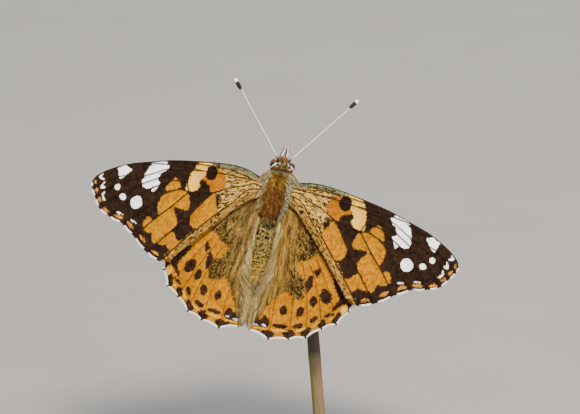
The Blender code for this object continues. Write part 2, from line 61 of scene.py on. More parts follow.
# Camera: a long lens straight at the butterfly's back, looking down by as much as it leans. The
# frame is 580 pixels wide, and at the butterfly each of them is 0.16 mm.
VIEW_RIGHT = Vector((1.0, 0.0, 0.0))
VIEW_UP = Vector((0.0, sin(LEAN_BACK), cos(LEAN_BACK)))
VIEW_BACK = Vector((0.0, -cos(LEAN_BACK), sin(LEAN_BACK)))
CAMERA_DISTANCE = 500 * MM
FRAME_WIDTH = 580 * 0.16 * MM
AIM_RIGHT = 2.256
AIM_DOWN = 3.36


def add_object(name, data):
    """Puts an object into the scene."""
    made = bpy.data.objects.new(name, data)
    bpy.context.scene.collection.objects.link(made)
    return made


aim = SPECIMEN_AT + VIEW_RIGHT * AIM_RIGHT * MM - VIEW_UP * AIM_DOWN * MM
lens = bpy.data.cameras.new("long_lens")
lens.sensor_width = 36.0
lens.lens = lens.sensor_width * CAMERA_DISTANCE / FRAME_WIDTH
lens.clip_start = 0.01
lens.clip_end = 20.0
camera = add_object("camera", lens)
camera.location = aim + VIEW_BACK * CAMERA_DISTANCE
camera.rotation_euler = (pi / 2 - LEAN_BACK, 0.0, 0.0)
bpy.context.scene.camera = camera


# Studio: a pale matt floor, a key light from above, a fill and a soft light behind. The small
# functions that build every material start here.
def linear(code):
    """The linear colour, with alpha, of an sRGB hex value."""
    parts = [int(code[at:at + 2], 16) / 255 for at in (0, 2, 4)]
    return (*[part / 12.92 if part <= 0.04045 else ((part + 0.055) / 1.055) ** 2.4 for part in parts], 1.0)


def add_node(tree, kind, feeds=None, **settings):
    """Adds a node with its settings. feeds gives its inputs a value, another node's output, or the
    first output of another node."""
    made = tree.nodes.new(kind)
    for name, value in settings.items():
        setattr(made, name, value)
    for key, value in (feeds or {}).items():
        value = value.outputs[0] if isinstance(value, bpy.types.Node) else value
        if isinstance(value, bpy.types.NodeSocket):
            tree.links.new(value, made.inputs[key])
        else:
            made.inputs[key].default_value = value
    return made


def new_material(name, roughness, specular=0.5, **more):
    """A material, its tree, and its Principled shader's inputs; more gives other inputs by name."""
    made = bpy.data.materials.new(name)
    made.use_nodes = True
    skin = made.node_tree.nodes["Principled BSDF"].inputs
    for key, value in {"Roughness": roughness, "Specular_IOR_Level": specular, **more}.items():
        skin[key.replace("_", " ")].default_value = value
    return made, made.node_tree, skin


def grained_material(name, roughness, specular, grains, detail, dark, pale):
    """A material of two colours in an even grain, with some number of grains to the millimetre."""
    made, tree, skin = new_material(name, roughness, specular)
    place = add_node(tree, "ShaderNodeTexCoord").outputs["Object"]
    grain = add_node(tree, "ShaderNodeTexNoise", {"Vector": place, "Scale": grains / MM, "Detail": detail})
    shade = add_node(tree, "ShaderNodeMix", {0: grain, 6: linear(dark), 7: linear(pale)}, data_type="RGBA")
    tree.links.new(shade.outputs[2], skin["Base Color"])
    return made


# Matt card: an even pale sweep with the faintest mottling of its pulp
floor_card = grained_material("matt_card_floor", 0.9, 0.2, 0.04, 3.0, "8C8A86", "92918D")
FLOOR_HALF = 3.0
floor_mesh = bpy.data.meshes.new("floor")
floor_mesh.from_pydata([(x * FLOOR_HALF, y * FLOOR_HALF, 0) for x, y in ((-1, -1), (1, -1), (1, 1), (-1, 1))],
                       [], [(0, 1, 2, 3)])
floor_mesh.materials.append(floor_card)
floor = add_object("floor", floor_mesh)

world = bpy.data.worlds.new("studio_air")
world.use_nodes = True
air = world.node_tree.nodes["Background"].inputs
air["Color"].default_value = linear("F2F4F8")
air["Strength"].default_value = 0.75
bpy.context.scene.world = world

for name, place, size, power, colour in (
    ("key_light", (0.09, -0.48, 0.65), 0.14, 12.8, "FFF4E4"),
    ("fill_light", (0.50, -0.50, 0.30), 0.45, 3.4, "EAF0FF"),
    ("rim_light", (0.10, 0.50, 0.55), 0.40, 3.2, "FFFFFF"),
):
    lamp = bpy.data.lights.new(name, "AREA")
    lamp.size = size
    lamp.energy = power
    lamp.color = linear(colour)[:3]
    light = add_object(name, lamp)
    light.location = place
    light.rotation_euler = (aim - Vector(place)).to_track_quat("-Z", "Y").to_euler()


# Display stand: a turned round base, lacquered black, and a short brass rod pressed into it that
# takes the cut end of the stem. Both are turned on a lathe, so each is a profile run round.
def add_piece(name, mesh, replaced=()):
    """Puts a mesh into the scene as a piece that rides on the one body that the part has."""
    piece = add_object(name, mesh)
    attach(piece, "root")
    if replaced:
        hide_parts(*replaced)
    return piece


def new_piece(name, points, faces, finishes, replaced=(), finish_of_face=None):
    """A finished piece with its points in metres."""
    mesh = bpy.data.meshes.new(name)
    mesh.from_pydata(np.asarray(points).tolist(), [], [list(face) for face in faces])
    for finish in finishes:
        mesh.materials.append(finish)
    if finish_of_face is not None:
        mesh.polygons.foreach_set("material_index", np.asarray(finish_of_face, dtype=np.int32))
    mesh.shade_smooth()
    mesh.update()
    return add_piece(name, mesh, replaced)


def ring_quads(row_count, side_count):
    """Quads between closed rings of points."""
    return [
        (low + side, low + after, low + side_count + after, low + side_count + side)
        for low in range(0, (row_count - 1) * side_count, side_count)
        for side, after in zip(range(side_count), [*range(1, side_count), 0])
    ]


def rows_to_faces(row_count, side_count):
    """Quads between closed rings of points, with a fan over each end to its own middle point."""
    faces = ring_quads(row_count, side_count)
    first = row_count * side_count
    top = first - side_count
    for side in range(side_count):
        after = (side + 1) % side_count
        faces += [(first, after, side), (first + 1, top + side, top + after)]
    return faces


def angles_round(count):
    """Even angles round a full turn."""
    return np.arange(count) * 2 * pi / count


def turned_piece(node, profile, side_count, finish):
    """A lathe profile, (radius, height) in millimetres from the bottom up, run round the axis."""
    profile = np.array(profile) * MM
    angles = angles_round(side_count)
    rings = np.stack([
        profile[:, :1] * np.cos(angles), profile[:, :1] * np.sin(angles),
        np.repeat(profile[:, 1:], side_count, axis=1),
    ], axis=2).reshape(-1, 3)
    ends = [(0.0, 0.0, profile[0, 1]), (0.0, 0.0, profile[-1, 1])]
    new_piece(node + "_turned", np.vstack([rings, ends]), rows_to_faces(len(profile), side_count), [finish],
              (node,))


def turned_material(name, roughness, lines, distortion, detail, pair, strength, depth, kind, **more):
    """Stuff off a lathe: so many fine lines to the millimetre, in its colour and its relief."""
    made, tree, skin = new_material(name, roughness, **more)
    place = add_node(tree, "ShaderNodeTexCoord").outputs["Object"]
    turning = add_node(tree, "ShaderNodeTexWave", {"Vector": place, "Scale": lines / MM, "Distortion": distortion,
                                                   "Detail": detail}, **kind)
    shade = add_node(tree, "ShaderNodeMix", {0: turning.outputs[0], 6: linear(pair[0]), 7: linear(pair[1])},
                     data_type="RGBA")
    tree.links.new(shade.outputs[2], skin["Base Color"])
    relief = add_node(tree, "ShaderNodeBump", {"Height": turning, "Strength": strength, "Distance": depth * MM})
    tree.links.new(relief.outputs[0], skin["Normal"])
    return made


# Black lacquer on turned wood: deep and smooth, with a clear top coat and very fine turning lines
lacquer = turned_material("black_lacquered_wood", 0.3, 0.7, 0.6, 2.0, ("17171A", "232327"), 0.05, 0.05,
                          {"wave_type": "RINGS", "rings_direction": "Z"}, Coat_Weight=0.6, Coat_Roughness=0.12)
# Turned brass, left bare: warm yellow metal with fine rings from the tool
brass = turned_material("turned_brass", 0.28, 0.9, 0.4, 1.0, ("B8934A", "D6B46A"), 0.15, 0.03,
                        {"wave_type": "BANDS", "bands_direction": "Z"}, Metallic=1.0)
turned_piece("stand_base", [
    (16.6, 0.0), (17.0, 0.25), (17.0, 1.5), (16.9, 2.5), (16.55, 3.15), (16.0, 3.55), (15.6, 3.6),
    (15.45, 3.45), (15.25, 3.45), (15.1, 3.62), (14.6, 3.86), (13.0, 3.98), (2.6, 4.0), (2.4, 3.9), (1.5, 3.9),
], 128, lacquer)
turned_piece("stand_rod", [
    (1.45, 4.25), (1.5, 4.4), (1.5, 4.75), (1.25, 4.95), (1.1, 5.2), (1.1, 8.0), (1.15, 8.15), (1.45, 8.4),
    (1.5, 8.6), (1.5, 9.05), (1.42, 9.2),
], 64, brass)


# Perch: a cut length of last year's plant stem, dry and fibrous, straight below and bent over
# above to where the butterfly grips it. Its cut ends show the pale pith.
def smooth_rows(rows, count):
    """Reads evenly spaced rows from a smooth curve through the given rows of numbers."""
    rows = np.asarray(rows, float)
    steps = np.linalg.norm(np.diff(rows, axis=0), axis=1)
    at = np.concatenate([[0.0], np.cumsum(steps)])
    slope = np.gradient(rows, at, axis=0)
    want = np.linspace(0.0, at[-1], count)
    found = np.clip(np.searchsorted(at, want, side="right") - 1, 0, len(rows) - 2)
    span = (at[found + 1] - at[found])[:, None]
    t = ((want - at[found])[:, None]) / span
    return (
        (2 * t**3 - 3 * t**2 + 1) * rows[found]
        + (t**3 - 2 * t**2 + t) * (slope[found] * span)
        + (3 * t**2 - 2 * t**3) * rows[found + 1]
        + (t**3 - t**2) * (slope[found + 1] * span)
    )


def smooth_step(value):
    """A soft change from 0 to 1."""
    value = np.clip(value, 0.0, 1.0)
    return value * value * (3 - 2 * value)


def unit(rows):
    """A vector, or each row of many, made one long."""
    return rows / np.linalg.norm(rows, axis=-1, keepdims=True)


def tube_frames(path):
    """The way ahead and two steady cross directions at each point of a path."""
    ahead = unit(np.gradient(path, axis=0))
    across = [unit(np.cross(ahead[0], (0.31, 0.17, 0.93)))]
    for way in ahead[1:]:
        across.append(unit(across[-1] - way * np.dot(across[-1], way)))
    across = np.array(across)
    return ahead, across, np.cross(ahead, across)


def tube_points(path, radii, side_count):
    """Rings round a path, with radii a number for each point or a table of point by side."""
    radii = np.asarray(radii, float)
    if radii.ndim == 1:
        radii = np.repeat(radii[:, None], side_count, axis=1)
    _, across, up = tube_frames(path)
    angles = angles_round(side_count)
    rings = (
        path[:, None, :]
        + across[:, None, :] * (radii * np.cos(angles))[:, :, None]
        + up[:, None, :] * (radii * np.sin(angles))[:, :, None]
    )
    return np.vstack([rings.reshape(-1, 3), path[:1], path[-1:]])


def keep_values(mesh, name, values, kind="FLOAT"):
    """Keeps a number, vector or colour at each point of a mesh, for its finish to read."""
    made = mesh.attributes.new(name, kind, "POINT")
    part = {"FLOAT": "value", "FLOAT_VECTOR": "vector", "FLOAT_COLOR": "color"}[kind]
    if kind == "FLOAT_COLOR":
        values = np.column_stack([values, np.ones(len(values))])
    made.data.foreach_set(part, np.asarray(values).astype(np.float32).ravel())


STEM_LEAN = tan(radians(4.3))
STEM_BEND = 5.2
STEM_BOTTOM = 9.5
STEM_STRAIGHT_TO = 26.0
STEM_RADIUS = 1.0
STEM_NODE = 23.0
STEM_SIDES = 60
STEM_ROWS = 120
stem_top = np.array(POSE @ (Vector((0.0, -0.8, -4.3)) * MM)) / MM


def stem_point(z):
    """The middle of the stem at a height, in millimetres."""
    bent = np.maximum(0.0, (z - STEM_STRAIGHT_TO) / (stem_top[2] - STEM_STRAIGHT_TO))
    x = -(z - STEM_BOTTOM) * STEM_LEAN - STEM_BEND * bent**2
    y = stem_top[1] * smooth_step((z - STEM_BOTTOM) / (stem_top[2] - STEM_BOTTOM))
    return np.stack([x, y, z + 0 * x], axis=-1)


# Dry plant stem: olive tan, with a redder tone in patches down its right side that is partly its own colour and
# partly painted shade, a painted shadow of the wing darkening it above its node, five long fibres to the millimetre
# and a dull waxy skin
stem_skin, tree, skin = new_material("dry_plant_stem", 0.62, 0.35)
place = add_node(tree, "ShaderNodeTexCoord").outputs["Object"]
squeeze = add_node(tree, "ShaderNodeMapping", {"Vector": place, "Scale": (1.0, 1.0, 0.06)})
fibres = add_node(tree, "ShaderNodeTexNoise", {"Vector": squeeze, "Scale": 5.2 / MM, "Detail": 6.0, "Roughness": 0.7})
patches = add_node(tree, "ShaderNodeTexNoise", {"Vector": place, "Scale": 0.42 / MM, "Detail": 4.0})
# Painted shade: the right side gets a redder, darker tone in patches, partly the stem's own colour and partly the
# shade of that side
redder_shaded = add_node(tree, "ShaderNodeAttribute", attribute_name="redder_shaded_side").outputs["Fac"]
red = add_node(tree, "ShaderNodeMath", {0: redder_shaded, 1: patches}, operation="MULTIPLY")
tone = add_node(tree, "ShaderNodeMix", {0: fibres, 6: linear("3A321C"), 7: linear("8D8154")}, data_type="RGBA")
warm = add_node(tree, "ShaderNodeMix", {0: red, 6: tone.outputs[2], 7: linear("8A5947")}, data_type="RGBA")
height = add_node(tree, "ShaderNodeSeparateXYZ", {0: place}).outputs[2]
# Painted shadow: from just above the node the stem is darkened where the wing's shadow falls on it, less so higher up
above_node = add_node(tree, "ShaderNodeMapRange", {0: height, 1: (STEM_NODE - 0.2) * MM, 2: (STEM_NODE + 1.2) * MM,
                                                   3: 0.0, 4: 0.8})
fading = add_node(tree, "ShaderNodeMapRange", {0: height, 1: 30 * MM, 2: 56 * MM, 3: 1.0, 4: 0.35})
painted_wing_shadow = add_node(tree, "ShaderNodeMath", {0: above_node, 1: fading}, operation="MULTIPLY")
# The painted shadow's dark colour, mixed over the stem's own tone
shade = add_node(tree, "ShaderNodeMix", {0: painted_wing_shadow, 6: warm.outputs[2], 7: linear("1E190E")}, data_type="RGBA")
tree.links.new(shade.outputs[2], skin["Base Color"])
relief = add_node(tree, "ShaderNodeBump", {"Height": fibres, "Strength": 0.5, "Distance": 0.12 * MM})
tree.links.new(relief.outputs[0], skin["Normal"])

# Dry pith at the cut: pale, matt and crumbly
pith = grained_material("dry_stem_pith", 0.9, 0.2, 6.0, 4.0, "7A6C47", "B2A98A")

heights = np.linspace(STEM_BOTTOM, stem_top[2], STEM_ROWS)
angles = angles_round(STEM_SIDES)
ribs = 1.0 + 0.028 * np.cos(9 * angles) + 0.012 * np.cos(23 * angles + 1.0)
swell = 1.0 + 0.05 * np.exp(-((heights - STEM_NODE) / 0.9) ** 2)
stem_points = tube_points(stem_point(heights), STEM_RADIUS * swell[:, None] * ribs[None, :] * 0.985, STEM_SIDES)
stem_faces = rows_to_faces(STEM_ROWS, STEM_SIDES)
cut_ends = [1 if max(face) >= STEM_ROWS * STEM_SIDES else 0 for face in stem_faces]
stem = new_piece("cut_stem", stem_points * MM, stem_faces, [stem_skin, pith], ("perch_stem",), cut_ends)
# How far each point faces right, which sets the redder tone and painted shade of that side
out_to_right = (stem_points[:, 0] - np.interp(stem_points[:, 2], heights, stem_point(heights)[:, 0])) / STEM_RADIUS
keep_values(stem.data, "redder_shaded_side", 1.5 * smooth_step(out_to_right))


# Wings: thin double membranes held by hollow veins, two on each side, that overlap in flight.
# Wing coordinates are p out from the body and q towards the head, in millimetres. Each outline
# runs out along the leading edge, from vein end to vein end round the margin, and home behind.
FOREWING = {
    "leading": [
        (0.5, 0.7), (2.6, 1.0), (4.9, 1.6), (7.0, 1.8), (10.2, 1.55), (14.0, 0.95), (19.2, -0.1),
        (22.5, -1.1), (25.8, -2.2), (28.2, -3.4), (29.9, -4.5), (31.0, -5.6), (31.3, -6.3),
    ],
    "vein_ends": [
        (31.1, -7.3), (30.2, -8.6), (29.1, -10.1), (27.3, -10.9),
        (24.7, -11.5), (22.2, -13.0), (19.5, -14.9), (16.8, -15.9),
    ],
    "scallop": 0.2,
    "hind": [(15.0, -14.9), (13.0, -12.5), (11.0, -10.2), (9.0, -8.0), (6.2, -5.0), (3.4, -2.5), (0.5, -1.6)],
    "veins": [
        [(1.5, 0.3), (3.6, 0.2), (8.9, 0.0), (13.1, -0.4), (15.9, -0.9), (19.4, -1.6), (22.9, -3.4),
         (25.2, -3.9), (27.9, -4.9), (29.8, -6.1), (31.1, -7.3)],
        [(3.6, 0.2), (7.5, 0.8), (11.2, 0.75), (15.0, 0.35), (18.4, 0.0)],
        [(13.1, -0.4), (17.0, -0.5), (20.5, -0.95), (23.5, -1.5)],
        [(22.9, -3.4), (25.1, -4.5), (27.2, -5.7), (28.9, -7.0), (30.2, -8.6)],
        [(15.4, -1.6), (18.3, -2.1), (21.6, -3.9), (24.3, -5.6), (26.4, -6.9), (27.9, -8.4), (29.1, -10.1)],
        [(15.4, -2.7), (17.7, -3.0), (20.1, -4.35), (22.0, -5.6), (24.3, -7.4), (25.8, -9.0), (27.3, -10.9)],
        [(1.5, -0.5), (4.0, -0.4), (5.3, -1.0), (7.7, -1.9), (10.7, -3.4), (13.3, -3.85), (14.8, -4.2),
         (16.0, -4.1), (17.5, -4.6), (19.3, -5.8), (21.0, -7.6), (22.8, -9.5), (24.7, -11.5)],
        [(14.8, -4.2), (17.0, -6.9), (19.1, -9.2), (20.9, -11.4), (22.2, -13.0)],
        [(10.7, -3.4), (13.2, -7.1), (16.2, -11.0), (18.1, -13.3), (19.5, -14.9)],
        [(2.0, -0.8), (4.3, -1.5), (6.9, -4.4), (9.7, -7.2), (11.6, -9.4), (13.7, -11.9), (15.4, -14.0),
         (16.8, -15.9)],
        [(15.9, -0.9), (15.4, -2.7), (14.8, -4.2)],
    ],
}
HINDWING = {
    "leading": [
        (0.7, -2.6), (2.5, -2.5), (6.0, -3.6), (9.6, -5.8), (12.8, -8.7), (15.3, -11.9), (16.5, -14.2),
        (16.7, -15.7),
    ],
    "vein_ends": [
        (16.0, -17.2), (14.4, -19.7), (12.2, -20.9), (10.0, -22.9), (7.3, -23.7), (4.1, -24.4), (0.75, -23.5),
    ],
    "scallop": -0.24,
    "hind": [(0.45, -20.4), (0.65, -17.9), (1.3, -15.6), (1.85, -12.9), (2.05, -9.0), (1.9, -5.4), (0.7, -4.1)],
    "veins": [
        [(1.6, -3.0), (4.5, -4.3), (8.0, -6.4), (11.5, -9.2), (14.5, -12.6), (16.7, -15.7)],
        [(6.2, -5.3), (8.8, -8.4), (11.3, -11.3), (13.9, -14.4), (16.0, -17.2)],
        [(8.9, -10.0), (11.0, -13.1), (12.9, -16.6), (14.4, -19.7)],
        [(8.2, -11.2), (9.9, -14.3), (11.2, -17.6), (12.2, -20.9)],
        [(7.0, -11.4), (8.3, -14.8), (9.3, -18.8), (10.0, -22.9)],
        [(1.6, -3.6), (3.4, -5.6), (4.7, -8.4), (5.8, -12.3), (6.7, -17.6), (7.3, -23.7)],
        [(1.8, -4.0), (2.9, -7.5), (3.5, -12.0), (3.9, -18.0), (4.1, -24.4)],
    ],
}
# How each wing is set: its fold, its fine turn and shift, and how far it settles on the other
WING_SET = {
    "forewing_right": {"shape": FOREWING, "side": 1, "fold": 16.25, "turn": 0.0, "shift": (0.0, 0.0)},
    "forewing_left": {"shape": FOREWING, "side": -1, "fold": 17.4, "turn": 1.88, "shift": (0.42, -0.22)},
    "hindwing_right": {"shape": HINDWING, "side": 1, "fold": 10.2, "turn": 0.0, "shift": (0.0, 0.0)},
    "hindwing_left": {"shape": HINDWING, "side": -1, "fold": 10.2, "turn": 1.13, "shift": (-0.55, 0.06)},
}
FOREWING_REACH = 31.0
FOREWING_CAMBER = 0.35
FOREWING_SETTLE = -0.14
HINDWING_DROP = 1.0
HINDWING_TWIST = 0.09
HINDWING_FLAT_FROM = -21.0
HINDWING_TWISTED_FROM = -14.0
HINDWING_SETTLE = 0.12
SHEET_HALF = 0.06
VEIN_RISE = 0.11
VEIN_HALF = 0.13
PLEAT = 0.07
SCALE_ROWS_FROM = np.array([-4.0, 2.0])
SCALE_ROWS_AT = 14.0
SIDES_APART = 50.0
LAYOUT_STEP = 0.22


def wing_spots(name, flat, lift=0.0):
    """Where points of a wing lie in the specimen's frame; lift is how far they stand off its middle."""
    setting = WING_SET[name]
    p, q = flat[:, 0], flat[:, 1]
    turn, fold = radians(setting["turn"]), radians(setting["fold"])
    out = p * cos(turn) - q * sin(turn) + setting["shift"][0]
    fore = p * sin(turn) + q * cos(turn) + setting["shift"][1]
    if setting["shape"] is FOREWING:
        height = FOREWING_CAMBER * np.sin(pi * np.clip(p / FOREWING_REACH, 0.0, 1.0)) + FOREWING_SETTLE
    else:
        twist = smooth_step((q - HINDWING_FLAT_FROM) / (HINDWING_TWISTED_FROM - HINDWING_FLAT_FROM))
        height = HINDWING_TWIST * p * twist - HINDWING_DROP + HINDWING_SETTLE
    height = height + lift
    x = out * cos(fold) - height * sin(fold)
    z = out * sin(fold) + height * cos(fold)
    return np.stack([setting["side"] * x, fore, z], axis=1)


def to_world(spots):
    """Points of the specimen's own frame, in millimetres, where the pose puts them in metres."""
    return spots * MM @ POSE_TURN.T + np.array(SPECIMEN_AT)


def resample(points, step):
    """Points about one step apart on a smooth curve through the given ones."""
    points = np.asarray(points, float)
    length = np.linalg.norm(np.diff(points, axis=0), axis=1).sum()
    return smooth_rows(points, max(2, round(length / step) + 1))


def turned(way, turn):
    """Flat ways, each turned to the left by its own angle, in radians."""
    return unit(np.stack([way[:, 0] * np.cos(turn) - way[:, 1] * np.sin(turn),
                          way[:, 0] * np.sin(turn) + way[:, 1] * np.cos(turn)], axis=1))


def sideways(line):
    """The way to the left of a flat line at each of its points."""
    run = np.gradient(line, axis=0)
    return unit(np.stack([-run[:, 1], run[:, 0]], axis=1))


def outer_margin(shape, step):
    """The outer margin, one arc from vein end to vein end, with each point's share of its arc."""
    ends = np.array(shape["leading"][-1:] + shape["vein_ends"])
    points, shares = [], []
    for start, end in zip(ends, ends[1:]):
        run = end - start
        out = unit(np.array([-run[1], run[0]]))
        for share in np.arange(0.0, 1.0, step / np.linalg.norm(run)):
            points.append(start + run * share + out * shape["scallop"] * sin(pi * share))
            shares.append(share)
    return np.array(points), np.array(shares)


def nearest(points, spots):
    """Which of some flat points is nearest to each spot, and how far off it is."""
    tree = KDTree(len(points))
    for index, point in enumerate(points):
        tree.insert((point[0], point[1], 0.0), index)
    tree.balance()
    found = [tree.find((x, y, 0.0)) for x, y in spots]
    return np.array([hit[1] for hit in found]), np.array([hit[2] for hit in found])


def inside_many(spots, loop):
    """Which spots are within a closed loop, by counting crossings."""
    x1, y1 = loop[:, 0], loop[:, 1]
    x2, y2 = np.roll(x1, -1), np.roll(y1, -1)
    rise = np.where(y2 == y1, 1.0, y2 - y1)
    x, y = spots[:, :1], spots[:, 1:]
    crosses = (y1 > y) != (y2 > y)
    return (crosses & (x < x1 + (y - y1) * (x2 - x1) / rise)).sum(axis=1) % 2 == 1


def depth_in(spots, loop):
    """How far each spot is inside a closed loop; outside it the value is negative."""
    start = loop[None, :, :]
    run = np.roll(loop, -1, axis=0)[None, :, :] - start
    gap = spots[:, None, :] - start
    share = np.clip((gap * run).sum(axis=2) / np.maximum((run * run).sum(axis=2), 1e-12), 0.0, 1.0)
    near = np.linalg.norm(gap - run * share[:, :, None], axis=2).min(axis=1)
    return np.where(inside_many(spots, loop), near, -near)


def wing_layout(shape):
    """A wing's flat points and triangles, with the veins and margin as edges of them."""
    leading = resample(shape["leading"], LAYOUT_STEP)
    margin, _ = outer_margin(shape, LAYOUT_STEP)
    hind = resample(shape["vein_ends"][-1:] + shape["hind"], LAYOUT_STEP)
    outline = np.vstack([leading[:-1], margin, hind])
    veins = [resample(vein, LAYOUT_STEP) for vein in shape["veins"]]
    edges = []
    first = len(outline)
    for vein in veins:
        edges.extend((first + k, first + k + 1) for k in range(len(vein) - 1))
        first += len(vein)
    points = crests = np.vstack([outline, *veins])
    for away in (VEIN_HALF, 2.3 * VEIN_HALF):
        feet = np.vstack([vein + sideways(vein) * step for vein in veins for step in (away, -away)])
        feet = feet[depth_in(feet, outline) > 0.08]
        points = np.vstack([points, feet[nearest(crests, feet)[1] > 0.8 * away]])
    low, high = outline.min(axis=0), outline.max(axis=0)
    rows = np.arange(low[1], high[1], LAYOUT_STEP)
    fill = np.vstack([
        np.stack([np.full(len(rows), p), rows + (column % 2) * LAYOUT_STEP / 2], axis=1)
        for column, p in enumerate(np.arange(low[0], high[0], LAYOUT_STEP * sqrt(3) / 2))
    ])
    fill = fill[inside_many(fill, outline)]
    points = np.vstack([points, fill[nearest(points, fill)[1] > 0.6 * LAYOUT_STEP]])
    # The last two numbers: keep what is inside the outline, and join points closer than 2 microns
    done = delaunay_2d_cdt([Vector(point) for point in points.tolist()], edges, [list(range(len(outline)))],
                           1, 0.002)
    return {"spots": np.array([tuple(spot) for spot in done[0]]), "triangles": np.array(done[2])}


def closed_curve(corners):
    """A closed mark with its corners rounded, four points for each one given."""
    corners = np.array(corners, float)
    before, after, beyond = (np.roll(corners, back, axis=0) for back in (1, -1, -2))
    points = []
    for share in (0.0, 0.25, 0.5, 0.75):
        points.append(0.5 * (
            2 * corners + (after - before) * share
            + (2 * before - 5 * corners + 4 * after - beyond) * share**2
            + (3 * corners - before - 3 * after + beyond) * share**3
        ))
    return np.stack(points, axis=1).reshape(-1, 2)


def oval_mark(p, q, half_p, half_q, turn=0.0):
    """The corners of an oval mark."""
    angles = angles_round(10)
    x, y = half_p * np.cos(angles), half_q * np.sin(angles)
    turn = radians(turn)
    return np.stack([p + x * cos(turn) - y * sin(turn), q + x * sin(turn) + y * cos(turn)], axis=1)


# The forewing's marks: an olive base, orange patches, one cream bar, white spots near the tip
FORE_MARKS = {
    "base": [
        [(0.0, 2.2), (5.0, 2.6), (9.0, 2.6), (11.9, 2.2), (12.1, 1.2), (11.6, 0.7), (10.4, 0.35), (9.3, -0.1),
         (8.6, -1.4), (9.1, -2.4), (9.7, -3.3), (8.7, -3.9), (8.9, -4.9), (9.1, -6.2), (10.0, -7.9), (11.4, -9.5),
         (12.3, -10.2), (13.6, -11.9), (15.2, -13.9), (16.6, -15.9), (15.0, -15.6), (12.0, -12.0), (6.0, -5.6),
         (0.0, -3.0)],
    ],
    "costal": [[(0.8, 0.75), (3.0, 0.5), (7.0, 1.0), (11.6, 1.0), (12.2, 1.9), (7.0, 2.6), (2.0, 2.0)]],
    "hind_band": [
        [(2.5, -1.6), (4.3, -1.9), (6.9, -4.6), (9.7, -7.4), (11.6, -9.6), (13.7, -12.1), (15.6, -14.6),
         (16.2, -15.6), (15.0, -15.4), (13.0, -13.0), (9.0, -8.4), (6.2, -5.4), (3.4, -2.9)],
    ],
    "deep": [
        [(8.6, -1.4), (9.3, -0.1), (10.6, 0.35), (11.6, 0.2), (12.2, -1.0), (12.9, -1.6), (11.3, -2.4), (11.0, -3.3),
         (10.2, -3.3), (9.1, -2.3)],
    ],
    "orange": [
        [(16.3, -3.8), (17.5, -2.6), (18.4, -3.6), (18.8, -4.7), (18.3, -4.8)],
        [(14.9, -4.3), (16.0, -4.1), (17.4, -4.5), (18.8, -5.4), (19.3, -6.2), (19.4, -7.5), (19.0, -8.8),
         (18.6, -8.7), (17.0, -6.9)],
        [(14.5, -4.8), (15.0, -4.5), (17.0, -6.9), (16.2, -7.0), (14.2, -7.0), (14.0, -6.1), (14.2, -5.4)],
        [(16.9, -7.1), (19.2, -9.4), (20.8, -11.3), (20.2, -11.9), (19.2, -11.9), (19.1, -12.6), (18.6, -13.4),
         (17.5, -12.2), (16.2, -10.8), (15.4, -9.5), (15.8, -8.4), (16.5, -7.6)],
        [(19.8, -10.0), (20.5, -9.5), (21.2, -10.5), (20.9, -11.3)],
        [(13.7, -12.2), (14.8, -11.9), (15.3, -11.2), (16.2, -11.0), (17.5, -12.3), (18.2, -13.1), (17.2, -13.3),
         (16.3, -13.1), (15.6, -13.9), (15.0, -13.7)],
        [(9.9, -3.7), (10.4, -3.6), (11.7, -5.0), (13.2, -7.1), (13.3, -8.4), (12.8, -9.3), (12.0, -9.5),
         (11.4, -9.3), (10.0, -7.8), (9.1, -6.2), (9.2, -5.2), (9.7, -4.3)],
    ],
    "cream": [
        [(12.6, 0.3), (13.2, 0.5), (14.3, 0.2), (15.0, -0.9), (15.3, -2.5), (15.4, -3.8), (14.9, -4.0), (13.9, -3.9),
         (13.0, -3.0), (13.3, -2.3), (12.7, -1.3), (12.3, -0.7)],
        [(12.1, 1.3), (13.1, 1.2), (14.0, 0.8), (14.6, 0.0), (13.8, 0.15), (11.9, 0.65)],
    ],
    "spot": [oval_mark(11.5, -0.42, 1.02, 1.18, 12)],
    "white": [
        [(19.6, -0.8), (20.2, -0.1), (21.3, -0.45), (22.3, -1.1), (22.1, -1.5), (20.6, -1.05)],
        [(19.1, -1.0), (19.9, -1.0), (21.3, -1.3), (22.3, -1.8), (22.85, -3.0), (22.8, -3.6), (20.4, -2.4),
         (19.6, -1.9)],
        [(20.4, -2.5), (22.9, -3.8), (22.9, -5.0), (22.0, -5.3), (21.1, -4.8), (20.1, -4.2), (20.1, -3.8),
         (20.6, -3.5)],
        [(20.2, -4.4), (21.2, -5.0), (20.8, -5.6)],
        [(25.3, -3.1), (25.9, -2.8), (26.5, -2.6), (27.6, -3.2), (27.3, -4.0), (27.1, -4.9), (26.5, -4.6),
         (25.9, -3.8)],
        oval_mark(23.2, -7.8, 1.02, 1.05),
        oval_mark(25.7, -7.5, 0.55, 0.5),
        oval_mark(27.0, -6.2, 0.46, 0.52),
    ],
    "dash": [
        [(29.8, -4.6), (30.05, -4.6), (30.35, -5.3), (30.2, -5.6), (29.5, -5.65), (29.4, -5.4), (30.0, -5.3)],
        [(29.25, -5.9), (29.5, -5.95), (29.75, -6.6), (29.75, -7.1), (29.5, -7.1), (29.0, -6.9), (29.05, -6.65),
         (29.4, -6.5)],
        [(28.9, -7.45), (29.15, -7.45), (29.25, -8.1), (28.7, -8.75), (28.45, -8.65), (28.85, -8.1)],
        oval_mark(22.85, -10.82, 0.62, 0.12, 18), oval_mark(25.45, -10.1, 0.6, 0.11, 8),
    ],
    "tan": [
        oval_mark(30.8, -6.35, 0.2, 0.34, -15), oval_mark(30.25, -7.5, 0.27, 0.36, -25),
        oval_mark(29.35, -8.85, 0.26, 0.44, -45), oval_mark(27.95, -10.1, 0.62, 0.24, 22),
        oval_mark(25.6, -10.65, 0.78, 0.24, 8), oval_mark(23.2, -11.5, 0.8, 0.26, 32),
        oval_mark(20.6, -13.1, 0.75, 0.22, 36), oval_mark(17.9, -14.75, 0.7, 0.2, 20),
    ],
}
